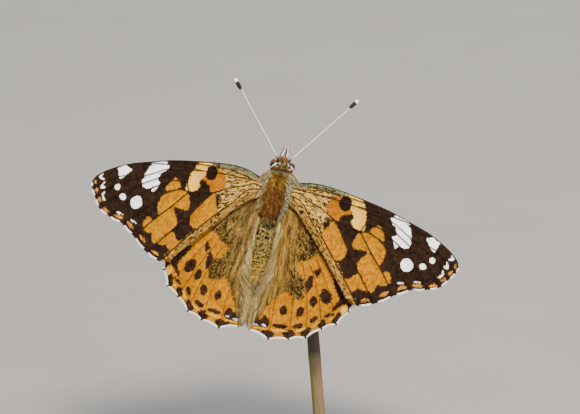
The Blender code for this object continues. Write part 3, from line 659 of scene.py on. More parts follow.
# The hindwing's marks, on its orange ground: the furred base, dark spots in rows, a blue-lilac
# corner near the tail
HIND_MARKS = {
    "base": [
        [(0.0, -2.0), (6.0, -3.0), (10.5, -6.5), (10.2, -8.6), (8.9, -9.5), (8.0, -10.1), (7.3, -10.6), (6.1, -10.9),
         (6.1, -12.0), (6.7, -13.0), (7.8, -13.7), (8.1, -14.6), (8.3, -15.4), (8.1, -16.3), (7.3, -17.0),
         (6.2, -16.7), (5.4, -16.1), (4.7, -16.3), (3.9, -17.4), (2.9, -18.9), (2.3, -20.2), (1.6, -21.0),
         (0.0, -21.2), (-0.5, -12.0)],
    ],
    "dark": [
        [(10.6, -15.2), (10.9, -14.6), (11.5, -14.4), (12.2, -14.8), (12.6, -15.4), (12.6, -16.1), (12.2, -16.7),
         (11.4, -16.6), (10.8, -16.1)],
        [(9.3, -17.1), (9.35, -16.2), (9.8, -15.75), (10.4, -16.3), (10.5, -17.1), (10.0, -17.7)],
        oval_mark(8.15, -18.85, 0.62, 0.9, -12),
        oval_mark(5.5, -19.2, 0.62, 0.8, 0),
        [(8.9, -12.0), (9.4, -11.6), (9.8, -11.1), (10.0, -11.7), (9.7, -12.9), (9.2, -12.5)],
        [(8.4, -13.0), (8.9, -12.6), (9.2, -13.9), (9.1, -15.0), (8.7, -15.6), (8.1, -14.8), (7.9, -14.0)],
        oval_mark(5.5, -21.8, 1.3, 0.36, 4), oval_mark(8.3, -21.15, 0.95, 0.42, 22),
        oval_mark(10.6, -19.6, 0.78, 0.42, 52), oval_mark(12.8, -18.4, 0.85, 0.26, 28),
        [(2.6, -23.25), (3.4, -22.95), (4.3, -22.85), (5.0, -23.15), (4.7, -23.9), (4.1, -24.5), (3.3, -24.0)],
        [(6.1, -22.7), (6.6, -22.2), (7.2, -22.0), (8.2, -22.3), (8.0, -23.1), (7.3, -23.8), (6.6, -23.4)],
        [(8.9, -22.3), (9.4, -21.5), (10.1, -20.9), (10.6, -21.3), (10.2, -22.4), (9.9, -23.0)],
        [(11.3, -20.3), (11.6, -19.5), (12.4, -19.3), (12.7, -20.1), (12.2, -21.0)],
        [(13.4, -19.0), (13.8, -18.1), (14.4, -17.4), (14.8, -18.0), (14.6, -19.6), (14.0, -19.7)],
        [(15.2, -15.9), (15.9, -15.8), (16.1, -16.6), (15.7, -17.2)],
        [(12.2, -12.6), (13.1, -12.6), (14.7, -14.6), (15.2, -15.7), (14.2, -16.6), (13.4, -17.6), (12.9, -17.6),
         (13.6, -16.2), (13.7, -15.2), (12.8, -14.0)],
        [(0.6, -21.3), (1.2, -20.8), (1.8, -21.0), (2.2, -21.4), (2.6, -20.8), (3.2, -20.7), (3.7, -21.5),
         (3.6, -22.4), (2.4, -22.6), (0.8, -22.7)],
        oval_mark(2.1, -23.0, 1.5, 0.09, 1),
    ],
    "dusky": [
        [(6.4, -13.1), (7.3, -13.6), (7.9, -14.2), (8.3, -15.1), (8.1, -16.3), (7.3, -17.0), (6.4, -16.6),
         (5.7, -16.2), (5.6, -15.1), (6.0, -13.9)],
        [(5.9, -11.1), (6.1, -9.9), (6.8, -8.6), (7.7, -7.8), (8.4, -8.3), (8.3, -9.3), (7.5, -10.6), (6.6, -11.0)],
    ],
    "cream": [[(14.5, -16.6), (15.2, -16.2), (15.5, -16.9), (15.1, -17.8), (14.6, -17.6)]],
    "lilac": [oval_mark(1.45, -22.35, 0.62, 0.16, -4), oval_mark(3.0, -22.15, 0.42, 0.14, -10)],
    "line": [
        oval_mark(2.2, -22.8, 1.4, 0.1, 2), oval_mark(5.6, -22.5, 1.3, 0.16, 6),
        oval_mark(8.8, -21.75, 1.1, 0.13, 32), oval_mark(11.2, -20.2, 0.8, 0.13, 50),
        oval_mark(13.3, -18.9, 0.8, 0.13, 50),
    ],
}


def wing_fields(layout, shape, marks):
    """What the finishes read at each flat point: the depth in every mark, and distances to edges."""
    spots = layout["spots"]
    fields = {name: np.max([depth_in(spots, closed_curve(mark)) for mark in group], axis=0)
              for name, group in marks.items()}
    margin, share = outer_margin(shape, 0.05)
    found, fields["margin"] = nearest(margin, spots)
    fields["arc"] = np.sin(pi * share[found])
    fields["vein"] = nearest(np.vstack([resample(vein, 0.05) for vein in shape["veins"]]), spots)[1]
    fields["lead"] = nearest(resample(shape["leading"], 0.05), spots)[1]
    fields["hind"] = nearest(resample(shape["hind"], 0.05), spots)[1]
    return fields


def wing_piece(name, layout, fields, finishes):
    """One wing: upper and lower sheets over the flat layout, joined round the edge, veins proud."""
    side = WING_SET[name]["side"]
    spots, triangles = layout["spots"], layout["triangles"][:, ::side]
    count = len(spots)
    rise = SHEET_HALF + VEIN_RISE * np.exp(-((fields["vein"] / VEIN_HALF) ** 2))
    rise *= smooth_step((fields["margin"] + 0.12) / 0.4)
    pleat = -PLEAT * smooth_step(fields["vein"] / 0.9)
    upper = wing_spots(name, spots, pleat + rise)
    lower = wing_spots(name, spots, pleat - rise)
    sides = np.vstack([triangles[:, [0, 1]], triangles[:, [1, 2]], triangles[:, [2, 0]]]).tolist()
    keys = {(a, b) for a, b in sides}
    rim = [(b, a, a + count, b + count) for a, b in sides if (b, a) not in keys]
    faces = triangles.tolist() + (triangles[:, ::-1] + count).tolist() + rim
    which = [0] * len(triangles) + [1] * len(triangles) + [0] * len(rim)
    piece = new_piece(name + "_scaled", to_world(np.vstack([upper, lower])), faces, finishes,
                      (name,), which)
    for field, values in fields.items():
        keep_values(piece.data, field, np.tile(values, 2))
    from_hinge = spots - SCALE_ROWS_FROM
    around = np.arctan2(from_hinge[:, 1], from_hinge[:, 0])
    rows = np.stack([around * SCALE_ROWS_AT, np.linalg.norm(from_hinge, axis=1), np.full(count, side * SIDES_APART)],
                    axis=1)
    keep_values(piece.data, "rows", np.tile(rows, (2, 1)), "FLOAT_VECTOR")


def scaled_finish(name, ground, layers, grain=0.13, clump=0.22):
    """Wing scales laid like tiles in rows across the wing, about 0.1 mm wide, in clumps of one colour.
    Every layer is a field, its two colours, how ragged and how soft its edge is in millimetres, and
    what else it needs: how much of it covers, how strongly its scales differ, the distance under
    which it lies, or a second field that has to be over a value."""
    made, tree, skin = new_material(name, 0.72, 0.06)
    rows = add_node(tree, "ShaderNodeAttribute", attribute_name="rows").outputs["Vector"]
    long_rows = add_node(tree, "ShaderNodeVectorMath", {0: rows, 1: (1.0, 0.55, 1.0)}, operation="MULTIPLY")
    scales = add_node(tree, "ShaderNodeTexVoronoi", {"Vector": long_rows, "Scale": 1.0 / grain, "Randomness": 0.9})
    lot = add_node(tree, "ShaderNodeSeparateColor", {0: scales.outputs["Color"]})
    clumps = add_node(tree, "ShaderNodeTexVoronoi", {"Vector": long_rows, "Scale": 1.0 / clump, "Randomness": 1.0})
    clump_lot = add_node(tree, "ShaderNodeSeparateColor", {0: clumps.outputs["Color"]})
    pepper = add_node(tree, "ShaderNodeMix", {0: 0.3, 2: clump_lot, 3: lot.outputs[1]})
    ragged = add_node(tree, "ShaderNodeTexNoise", {"Vector": rows, "Scale": 2.6, "Detail": 4.0, "Roughness": 0.65})
    broad = add_node(tree, "ShaderNodeTexNoise", {"Vector": rows, "Scale": 0.55, "Detail": 3.0})
    stray = add_node(tree, "ShaderNodeMath", {0: ragged, 1: -0.5}, operation="ADD")
    stray = add_node(tree, "ShaderNodeMath", {0: lot, 1: 0.5, 2: stray}, operation="MULTIPLY_ADD")
    stray = add_node(tree, "ShaderNodeMath", {0: stray, 1: -0.25}, operation="ADD")
    colour = add_node(tree, "ShaderNodeMix", {0: pepper, 6: linear(ground[0]), 7: linear(ground[1])},
                      data_type="RGBA")
    for field_name, dark, pale, uneven, soft, *rest in layers:
        more = rest[0] if rest else {}
        field = add_node(tree, "ShaderNodeAttribute", attribute_name=field_name).outputs["Fac"]
        if "under" in more:
            field = add_node(tree, "ShaderNodeMath", {0: more["under"], 1: field}, operation="SUBTRACT")
        if "over" in more:
            other = add_node(tree, "ShaderNodeAttribute", attribute_name=more["over"][0]).outputs["Fac"]
            other = add_node(tree, "ShaderNodeMath", {0: other, 1: more["over"][1]}, operation="SUBTRACT")
            field = add_node(tree, "ShaderNodeMath", {0: field, 1: other}, operation="MINIMUM")
        edge = add_node(tree, "ShaderNodeMath", {0: stray, 1: uneven, 2: field}, operation="MULTIPLY_ADD")
        cover = add_node(tree, "ShaderNodeMapRange", {0: edge, 1: -soft, 2: soft, 4: more.get("cover", 1.0)},
                         interpolation_type="SMOOTHSTEP")
        pick = pepper
        if "strong" in more:
            pick = add_node(tree, "ShaderNodeMapRange", {0: pick, 1: more["strong"][0], 2: more["strong"][1]},
                            interpolation_type="SMOOTHSTEP")
        pair = add_node(tree, "ShaderNodeMix", {0: pick, 6: linear(dark), 7: linear(pale)}, data_type="RGBA")
        colour = add_node(tree, "ShaderNodeMix", {0: cover, 6: colour.outputs[2], 7: pair.outputs[2]},
                          data_type="RGBA")
    light = add_node(tree, "ShaderNodeMapRange", {0: broad, 1: 0.3, 2: 0.7, 3: 0.88, 4: 1.1})
    colour = add_node(tree, "ShaderNodeMix", {0: 1.0, 6: colour.outputs[2], 7: light.outputs[0]}, data_type="RGBA",
                      blend_type="MULTIPLY")
    tree.links.new(colour.outputs[2], skin["Base Color"])
    relief = add_node(tree, "ShaderNodeBump", {"Height": scales.outputs["Distance"], "Strength": 0.45,
                                               "Distance": 0.03 * MM})
    tree.links.new(relief.outputs[0], skin["Normal"])
    return made


# Upper side of the forewing: orange and blackish brown scales, white near the tip, and a base
# where dark and golden scales are mixed like pepper and salt
fore_upper = scaled_finish("forewing_scales_upper", ("090503", "2E1D10"), [
    ("base", "2E1E0A", "D6A440", 1.1, 0.25, {"strong": (0.25, 0.6)}),
    ("hind_band", "5E3C10", "C08C36", 0.5, 0.3, {"cover": 0.7}),
    ("costal", "1C1B14", "84845C", 0.6, 0.25, {"strong": (0.25, 0.6)}),
    ("orange", "7E4A00", "B67B00", 0.45, 0.1),
    ("deep", "744200", "A66600", 0.45, 0.12),
    ("cream", "C08C2A", "DEB450", 0.35, 0.1),
    ("spot", "0C0504", "24130C", 0.3, 0.08),
    ("white", "ECE8E2", "FFFFFF", 0.22, 0.06),
    ("dash", "D8C8A8", "FFFFFF", 0.3, 0.08),
    ("tan", "8A5618", "C48A3A", 0.5, 0.12, {"cover": 0.95}),
    ("vein", "160A05", "281408", 0.06, 0.04, {"under": 0.115, "cover": 0.92}),
    ("lead", "080708", "201C1A", 0.25, 0.08, {"under": 0.2}),
    ("hind", "62543A", "A08E68", 0.1, 0.06, {"under": 0.1, "cover": 0.8}),
    ("margin", "150C08", "2C1A12", 0.15, 0.06, {"under": 0.26}),
    ("margin", "E6E2DC", "FFFFFF", 0.15, 0.06, {"under": 0.22, "over": ("arc", 0.5)}),
])
# Underside of the forewing: rose orange with the same pattern, fading to olive brown at the tip
fore_under = scaled_finish("forewing_scales_under", ("2C1F15", "523E2A"), [
    ("base", "9E6C4C", "B68E6D", 0.6, 0.4),
    ("costal", "6C5F44", "AAA084", 0.6, 0.25, {"strong": (0.3, 0.7)}),
    ("orange", "B16C45", "C18C6A", 0.4, 0.2),
    ("deep", "AE5F3D", "BE7D5D", 0.4, 0.2),
    ("cream", "BEA27D", "C6B69E", 0.35, 0.15),
    ("white", "ECE8E2", "FFFFFF", 0.22, 0.08),
    ("dash", "D8CFC2", "F6F2EA", 0.5, 0.12),
    ("vein", "9E8764", "B7A98A", 0.08, 0.06, {"under": 0.1, "cover": 0.75}),
    ("margin", "7D6C4C", "A29372", 0.5, 0.3, {"under": 0.9, "cover": 0.8}),
    ("margin", "E6E2DC", "FFFFFF", 0.2, 0.08, {"under": 0.38, "over": ("arc", 0.62)}),
])
# Upper side of the hindwing: orange, with dark spots and a furred base of dark and olive scales
hind_upper = scaled_finish("hindwing_scales_upper", ("804A00", "B67A00"), [
    ("base", "181006", "7A6230", 1.0, 0.3, {"strong": (0.25, 0.65)}),
    ("dusky", "120C04", "664C1E", 1.0, 0.3, {"strong": (0.3, 0.75), "cover": 0.85}),
    ("dark", "0C0504", "3A2416", 0.4, 0.08),
    ("cream", "C08C2A", "DEB450", 0.4, 0.15),
    ("line", "C48A10", "E2B030", 0.2, 0.1, {"cover": 0.9}),
    ("lilac", "8C88B0", "E6E4F6", 0.35, 0.1),
    ("vein", "2E1A08", "54310F", 0.1, 0.05, {"under": 0.08, "cover": 0.8}),
    ("margin", "150C08", "2C1A12", 0.15, 0.08, {"under": 0.26}),
    ("margin", "ECE9E6", "FFFFFF", 0.15, 0.06, {"under": 0.22, "over": ("arc", 0.3)}),
])
# Underside of the hindwing: marbled olive, grey and cream with pale veins
hind_under = scaled_finish("hindwing_scales_under", ("6C5D42", "9E9172"), [
    ("base", "52452D", "B4AA94", 2.2, 0.3, {"strong": (0.3, 0.7)}),
    ("dark", "2D2C31", "61646A", 0.4, 0.25),
    ("lilac", "7A7797", "A9A7B6", 0.35, 0.1),
    ("line", "AA9E7D", "C1BAA4", 0.2, 0.15),
    ("vein", "AEA389", "C1BCAC", 0.12, 0.06, {"under": 0.12}),
    ("margin", "ECE9E6", "FFFFFF", 0.2, 0.08, {"under": 0.34, "over": ("arc", 0.35)}),
])
fore_layout = wing_layout(FOREWING)
fore_fields = wing_fields(fore_layout, FOREWING, FORE_MARKS)
hind_layout = wing_layout(HINDWING)
hind_fields = wing_fields(hind_layout, HINDWING, HIND_MARKS)
for label in ("left", "right"):
    wing_piece("hindwing_" + label, hind_layout, hind_fields, [hind_upper, hind_under])
    wing_piece("forewing_" + label, fore_layout, fore_fields, [fore_upper, fore_under])


# Fringe: flat scales that stand out all round the outer margins, white in the bays between the
# veins and dark at the vein ends. Fringes, hairs and body fur are all laid by one node tree.
def single_hair(name, side_count, lengths, widths, rise, flat):
    """One hair along +Z with its root at the origin, bowed towards +Y; local tells its own place."""
    points = [
        (0.5 * width * cos(turn), rise * sin(length * pi / 2) + 0.5 * width * flat * sin(turn), length)
        for length, width in zip(lengths[:-1], widths) for turn in angles_round(side_count)
    ]
    points.append((0.0, rise, 1.0))
    faces = ring_quads(len(widths), side_count)
    top = (len(widths) - 1) * side_count
    for side in range(side_count):
        faces.append((top + side, top + (side + 1) % side_count, len(points) - 1))
    faces.append(tuple(reversed(range(side_count))))
    mesh = bpy.data.meshes.new(name)
    mesh.from_pydata(points, [], faces)
    mesh.shade_smooth()
    keep_values(mesh, "local", [(x, z, 0.0) for x, y, z in points], "FLOAT_VECTOR")
    return bpy.data.objects.new(name, mesh)


def coat_tree():
    """Sets a hair at each root, turned to its lie, sized, and with a small patch of the skin's unwrap."""
    tree = bpy.data.node_groups.new("lay_the_coat", "GeometryNodeTree")
    tree.is_modifier = True
    for name, kind in (
        ("Roots", "Geometry"), ("One hair", "Object"), ("Patch size", "Float"), ("Finish", "Material"),
    ):
        tree.interface.new_socket(name, in_out="INPUT", socket_type="NodeSocket" + kind)
    tree.interface.new_socket("Coat", in_out="OUTPUT", socket_type="NodeSocketGeometry")
    given = add_node(tree, "NodeGroupInput").outputs
    hair = add_node(tree, "GeometryNodeObjectInfo", {"Object": given["One hair"]})
    lie, up, size, root, local = (
        add_node(tree, "GeometryNodeInputNamedAttribute", {"Name": name}, data_type="FLOAT_VECTOR").outputs[0]
        for name in ("lie", "up", "size", "root", "local")
    )
    turn = add_node(tree, "FunctionNodeAxesToRotation", {"Primary Axis": lie, "Secondary Axis": up},
                    primary_axis="Z", secondary_axis="Y")
    laid = add_node(tree, "GeometryNodeInstanceOnPoints", {
        "Points": given["Roots"], "Instance": hair.outputs["Geometry"], "Rotation": turn, "Scale": size,
    })
    real = add_node(tree, "GeometryNodeRealizeInstances", {"Geometry": laid})
    patch = add_node(tree, "ShaderNodeVectorMath", {0: local, 3: given["Patch size"]}, operation="SCALE")
    spot = add_node(tree, "ShaderNodeVectorMath", {0: root, 1: patch}, operation="ADD")
    unwrap = add_node(tree, "GeometryNodeStoreNamedAttribute", {"Geometry": real, "Name": "OFBake", "Value": spot},
                      data_type="FLOAT2", domain="CORNER")
    done = add_node(tree, "GeometryNodeSetMaterial", {"Geometry": unwrap, "Material": given["Finish"]})
    add_node(tree, "NodeGroupOutput", {"Coat": done})
    return tree


lay_the_coat = coat_tree()
PATCH = 0.003


def coat_piece(name, hair, roots, finish):
    """A coat as one plain mesh. roots holds at, lie, up, size, root and tint for each hair, with the
    size as (width, bow, length) in millimetres."""
    cloud = bpy.data.meshes.new(name)
    cloud.vertices.add(len(roots["at"]))
    cloud.vertices.foreach_set("co", roots["at"].astype(np.float32).ravel())
    for field in ("lie", "up", "size", "root"):
        keep_values(cloud, field, roots[field] * (MM if field == "size" else 1.0), "FLOAT_VECTOR")
    keep_values(cloud, "tint", roots["tint"], "FLOAT_COLOR")
    holder = add_object(name + "_roots", cloud)
    step = holder.modifiers.new("coat", "NODES")
    step.node_group = lay_the_coat
    sockets = {item.name: item.identifier for item in lay_the_coat.interface.items_tree if item.in_out == "INPUT"}
    step[sockets["One hair"]] = hair
    step[sockets["Patch size"]] = PATCH
    step[sockets["Finish"]] = finish
    mesh = bpy.data.meshes.new_from_object(holder.evaluated_get(bpy.context.evaluated_depsgraph_get()))
    bpy.data.objects.remove(holder)
    mesh.name = name
    add_piece(name, mesh)


def hair_finish(name, roughness, specular):
    """Chitin hairs and scales, each in its own tint, a little darker at the root."""
    made, tree, skin = new_material(name, roughness, specular)
    tint = add_node(tree, "ShaderNodeAttribute", attribute_name="tint")
    local = add_node(tree, "ShaderNodeAttribute", attribute_name="local")
    along = add_node(tree, "ShaderNodeSeparateXYZ", {0: local.outputs["Vector"]})
    light = add_node(tree, "ShaderNodeMapRange", {0: along.outputs[1], 2: 0.6, 3: 0.72, 4: 1.05})
    shade = add_node(tree, "ShaderNodeMix", {0: 1.0, 6: tint.outputs["Color"], 7: light}, data_type="RGBA",
                     blend_type="MULTIPLY")
    tree.links.new(shade.outputs[2], skin["Base Color"])
    return made


def tints(codes, picks):
    """One of the linear colours in codes for each pick from 0 to 1, with a little spread between them."""
    colours = np.array([linear(code)[:3] for code in codes])
    at = np.clip(picks, 0.0, 0.9999) * (len(codes) - 1)
    low = at.astype(int)
    return colours[low] + (colours[low + 1] - colours[low]) * (at - low)[:, None]


def clump_picks(spots, size, rng):
    """A pick from 0 to 1 for each spot, shared by those in the same small clump."""
    cells = np.floor(spots / size + rng.normal(0.0, 0.12, spots.shape)).astype(int)
    _, which = np.unique(cells, axis=0, return_inverse=True)
    return rng.random(which.max() + 1)[which.ravel()]


def clumped(clump, share, rng):
    """Picks that are the clump's by a share, and each one's own for the rest."""
    return share * clump + (1.0 - share) * rng.random(len(clump))


# The wings are unwrapped flat: from this corner, over a square this wide, in millimetres
UNWRAP_CORNER = np.array([-2.0, -28.0])
UNWRAP_WIDTH = 36.0


def wing_ways(name, flat, way):
    """The wing's own directions in the world at flat points: along a flat way, and out of its face."""
    small = 0.01
    here = wing_spots(name, flat)
    along, ahead, aside = (
        wing_spots(name, flat + small * np.asarray(step)) - here for step in (way, (1.0, 0.0), (0.0, 1.0))
    )
    up = np.cross(ahead, aside) * WING_SET[name]["side"]
    return unit(along @ POSE_TURN.T), unit(up @ POSE_TURN.T)


def wing_roots(name, flat, lift, way, width, bow, length, tint):
    """Roots of a coat on a wing: where they are on it, their flat way, their sizes and their tint."""
    lie, up = wing_ways(name, flat, way)
    return {
        "at": to_world(wing_spots(name, flat, lift)), "lie": lie, "up": up,
        "size": np.stack([width, bow, length], axis=1), "tint": tint,
        "root": np.column_stack([(flat - UNWRAP_CORNER) / UNWRAP_WIDTH, np.zeros(len(flat))]),
    }


# Fringe scales: dull and powdery, each white or blackish brown
fringe_scales = hair_finish("white_and_dark_fringe_scales", 0.6, 0.1)
fringe_blade = single_hair("fringe_scale", 4, (0.0, 0.4, 0.75, 1.0), (0.8, 1.0, 0.7), 0.0, 0.22)


def fringe(name, shape, white_from, seed):
    """Three rows of fringe scales round one wing's outer margin, a little uneven at their tips."""
    rng = np.random.default_rng(seed)
    margin, share = outer_margin(shape, 0.052)
    out = sideways(margin)
    count = len(margin)
    clouds = []
    for depth, level in ((0.25, 0.05), (0.2, -0.05), (0.3, 0.02)):
        way = turned(out, rng.normal(0.0, 0.14, count))
        white = np.sin(pi * share) + rng.normal(0.0, 0.09, count) > white_from
        length = depth + np.where(white, 0.06, -0.02) + rng.normal(0.0, 0.03, count)
        tint = np.where(white[:, None], tints(("DAD6CF", "FFFFFF"), rng.random(count)),
                        tints(("120A06", "392518"), rng.random(count)))
        clouds.append(wing_roots(name, margin - out * depth, level, way, rng.uniform(0.07, 0.1, count),
                                 np.full(count, 0.08), length, tint))
    roots = {key: np.vstack([cloud[key] for cloud in clouds]) for key in clouds[0]}
    coat_piece(name + "_fringe", fringe_blade, roots, fringe_scales)


for number, (name, setting) in enumerate(WING_SET.items()):
    fringe(name, setting["shape"], 0.55 if setting["shape"] is FOREWING else 0.22, 40 + number)


# Wing hair: long silky hairs that lie over the base of each hindwing and sweep back along the
# abdomen, short raised scales on the base of every wing, and a trailing fringe on the forewings

# Silky wing hair: fine chitin with a soft silky gleam, from dark brown to gold and cream
silk = hair_finish("silky_wing_hair", 0.45, 0.2)
long_hair = single_hair("long_hair", 3, (0.0, 0.3, 0.6, 0.85, 1.0), (1.0, 0.9, 0.7, 0.4), 1.0, 0.6)
wing_scale = single_hair("wing_scale", 3, (0.0, 0.55, 1.0), (0.85, 1.0), 1.0, 0.3)
HAIR_ROOT = np.array([-1.0, 3.5])
WING_ROOT = np.array([-2.0, 1.6])
TUFT_ROWS_AT = 11.0


def between(value, low, high, soft):
    """1 between two values and 0 beyond them, with soft ends."""
    return smooth_step((value - low) / soft + 0.5) * smooth_step((high - value) / soft + 0.5)


def wing_coat(wing, part, hair, flat, way, length, width, bow, tint, rng):
    """A coat over one wing from flat roots with their ways and tints. Width and bow are ranges."""
    count = len(flat)
    width, bow = rng.uniform(*width, count), rng.uniform(*bow, count)
    coat_piece(wing + part, hair, wing_roots(wing, flat, 0.04, way, width, bow, length, tint), silk)


def hindwing_hair(name, seed):
    """Golden hair over a hindwing's base, beige silk along its inner edge and cream hair at its end."""
    rng = np.random.default_rng(seed)
    depth, out = hind_fields["base"], hind_layout["spots"][:, 0]
    golden = np.flatnonzero((depth > 0.25) & (out < 6.0))
    chance = smooth_step((5.8 - out[golden]) / 3.4) + 0.04
    count = 3700
    picked = golden[rng.choice(len(golden), count, p=chance / chance.sum())]
    flat = hind_layout["spots"][picked] + rng.uniform(-0.15, 0.15, (count, 2))
    clump = clump_picks(flat * (1.0, 0.15), 0.25, rng)
    way = turned(flat - HAIR_ROOT, rng.normal(0.0, 0.05, count) + 0.08 * (clump - 0.5)
                 - 0.12 * smooth_step(1.0 - flat[:, 0] / 5.0))
    length = np.minimum(rng.uniform(0.8, 2.1, count), 0.3 + 0.8 * depth[picked])
    tint = tints(("120C04", "4E3810", "866422", "C49C4A", "7A5E20", "221808"), clumped(clump, 0.75, rng))
    wing_coat(name, "_hair", long_hair, flat, way, length, (0.04, 0.06), (0.08, 0.22), tint, rng)

    edge = resample([(0.65, -22.4)] + HINDWING["hind"], 0.01)
    count = 4800
    flat = edge[rng.integers(0, len(edge), count)]
    spread = 0.14 + 0.48 * smooth_step((-9.0 - flat[:, 1]) / 6.0)
    spread *= np.interp(flat[:, 1], (-22.5, -18.5), (0.3, 1.0))
    inset = np.abs(rng.normal(0.0, 1.0, count)) * spread - 0.06
    flat = flat + np.stack([inset, rng.normal(0.0, 0.1, count)], axis=1)
    under_tail = between(flat[:, 1], -18.5, -12.5, 2.0) * (rng.random(count) < 0.4) * (inset < 0.3)
    inward = 0.1 + 0.3 * (rng.random(count) < 0.12) + 0.5 * between(flat[:, 1], -18.0, -9.5, 3.0) + 0.9 * under_tail
    clump = clump_picks(flat * (1.0, 0.12), 0.2, rng)
    way = turned(np.stack([-inward, -np.ones(count)], axis=1),
                 rng.normal(0.0, 0.05, count) + 0.1 * (clump - 0.5))
    length = rng.uniform(1.3, 3.0, count) * np.clip((flat[:, 1] + 23.8) / 4.0, 0.15, 1.0)
    tint = tints(("261E0E", "66562E", "94804A", "C2AE78", "645838"), clumped(clump, 0.75, rng))
    wing_coat(name, "_silk", long_hair, flat, way, length, (0.04, 0.065), (0.15, 0.6), tint, rng)

    count = 800
    low = edge[edge[:, 1] < -15.0]
    flat = low[rng.integers(0, len(low), count)]
    way = turned(np.tile((-0.35, -1.0), (count, 1)), rng.normal(0.0, 0.1, count))
    length = rng.uniform(0.5, 1.0, count) * np.clip((flat[:, 1] + 24.0) / 2.4, 0.3, 1.0)
    tint = tints(("9A906C", "E0D8BA", "F6F0DE"), rng.random(count))
    wing_coat(name, "_cream", long_hair, flat, way, length, (0.04, 0.06), (0.02, 0.1), tint, rng)


def trailing_fringe(name, seed):
    """Scales that stand out over a forewing's hind edge: golden by the body, beige and grey further out."""
    rng = np.random.default_rng(seed)
    edge = resample(FOREWING["hind"], 0.01)
    out = sideways(edge)
    out *= -np.sign(out[:, 1:2])
    count = 1900
    at = rng.integers(0, len(edge), count)
    inset = rng.uniform(0.0, 0.26, count)
    flat = edge[at] - out[at] * inset[:, None]
    way = turned(out[at] + 0.6 * unit(flat - WING_ROOT), rng.normal(0.0, 0.16, count))
    mixed = clumped(clump_picks(flat, 0.26, rng), 0.75, rng)
    tint = tints(("120A04", "5E4010", "A87A28", "D8AC50", "3A260A"), mixed)
    far = smooth_step((edge[at, 0] - 9.0) / 6.0)[:, None]
    tint += (tints(("22140A", "70481E", "B0803C", "D8AC68", "4E3216"), mixed) - tint) * far
    pale = (rng.random(count) < 0.2 * far[:, 0]) & (inset < 0.08)
    tint = np.where(pale[:, None], tints(("8E8C84", "CCCAC2"), rng.random(count)), tint)
    length = rng.uniform(0.36, 0.52, count)
    wing_coat(name, "_edge", wing_scale, flat, way, length, (0.07, 0.11), (0.0, 0.05), tint, rng)


def scale_tufts(name, layout, fields, out_from, out_to, count, reach, zones, seed):
    """Short raised scales in rows that spread from the wing's root, dark ones among pale. zones holds
    fields, each with its pale tints and share of dark, that take over from the ones before."""
    rng = np.random.default_rng(seed)
    spots = layout["spots"]
    is_forewing = layout is fore_layout
    from_hinge = np.linalg.norm(spots, axis=1)
    bare_vein = np.interp(from_hinge, (4.0, 8.0), (0.06, 0.13 if is_forewing else 0.06))
    furred = np.flatnonzero((fields["base"] > 0.2) & (fields["lead"] > 0.3) & (fields["vein"] > bare_vein)
                            & (spots[:, 0] > out_from) & (spots[:, 0] < out_to))
    chance = np.exp(-from_hinge[furred] / reach)
    picked = furred[rng.choice(len(furred), count, p=chance / chance.sum())]
    flat = spots[picked] + rng.uniform(-0.12, 0.12, (count, 2))
    from_root = flat - WING_ROOT
    across = np.arctan2(from_root[:, 1], from_root[:, 0]) * TUFT_ROWS_AT
    along = np.linalg.norm(from_root, axis=1)
    streak = clump_picks(np.stack([across, 0.1 * along], axis=1), 0.26, rng)
    speck = 0.25 * rng.random(count) + 0.75 * clump_picks(np.stack([1.4 * across, 0.45 * along], axis=1), 0.24, rng)
    tint = tints(zones[0][1], rng.random(count))
    dark = np.full(count, zones[0][2])
    for field, pale, zone_dark in zones[1:]:
        inside = smooth_step(fields[field][picked] / 0.4 + 0.5)
        tint += (tints(pale, rng.random(count)) - tint) * inside[:, None]
        dark += (zone_dark - dark) * inside
    if is_forewing:
        by_vein = smooth_step((0.17 - fields["vein"][picked]) / 0.06)
        dark = np.maximum(dark, by_vein * smooth_step((along - 6.5) / 3.0))
    tint = np.where((speck < dark)[:, None], tints(("0E0804", "3A2812"), rng.random(count)), tint)
    tint = tint * (0.82 + 0.6 * streak)[:, None]
    way = turned(from_root, rng.normal(0.0, 0.12, count))
    length = rng.uniform(0.2, 0.38, count)
    wing_coat(name, "_tufts", wing_scale, flat, way, length, (0.07, 0.11), (0.04, 0.1), tint, rng)


OLIVE_ZONES = [
    ("base", ("6A5218", "A07C30", "CEA858", "7C6A2C"), 0.43),
    ("dusky", ("4C3812", "826628", "AE8E44", "5E481A"), 0.52),
]
GOLDEN_ZONES = [
    ("base", ("9C7020", "E0B248", "F8DC94", "BA8A30"), 0.4),
    ("hind_band", ("6E4A14", "B4822E", "DCB05E", "6A4816"), 0.36),
    ("costal", ("44462C", "7A7C56", "A0A076"), 0.4),
]
for number, label in enumerate(("left", "right")):
    hindwing, forewing = "hindwing_" + label, "forewing_" + label
    hindwing_hair(hindwing, 60 + number)
    scale_tufts(hindwing, hind_layout, hind_fields, 2.6, 99.0, 4600, 40.0, OLIVE_ZONES, 66 + number)
    scale_tufts(forewing, fore_layout, fore_fields, -99.0, 14.5, 7800, 14.0, GOLDEN_ZONES, 70 + number)
    trailing_fringe(forewing, 74 + number)


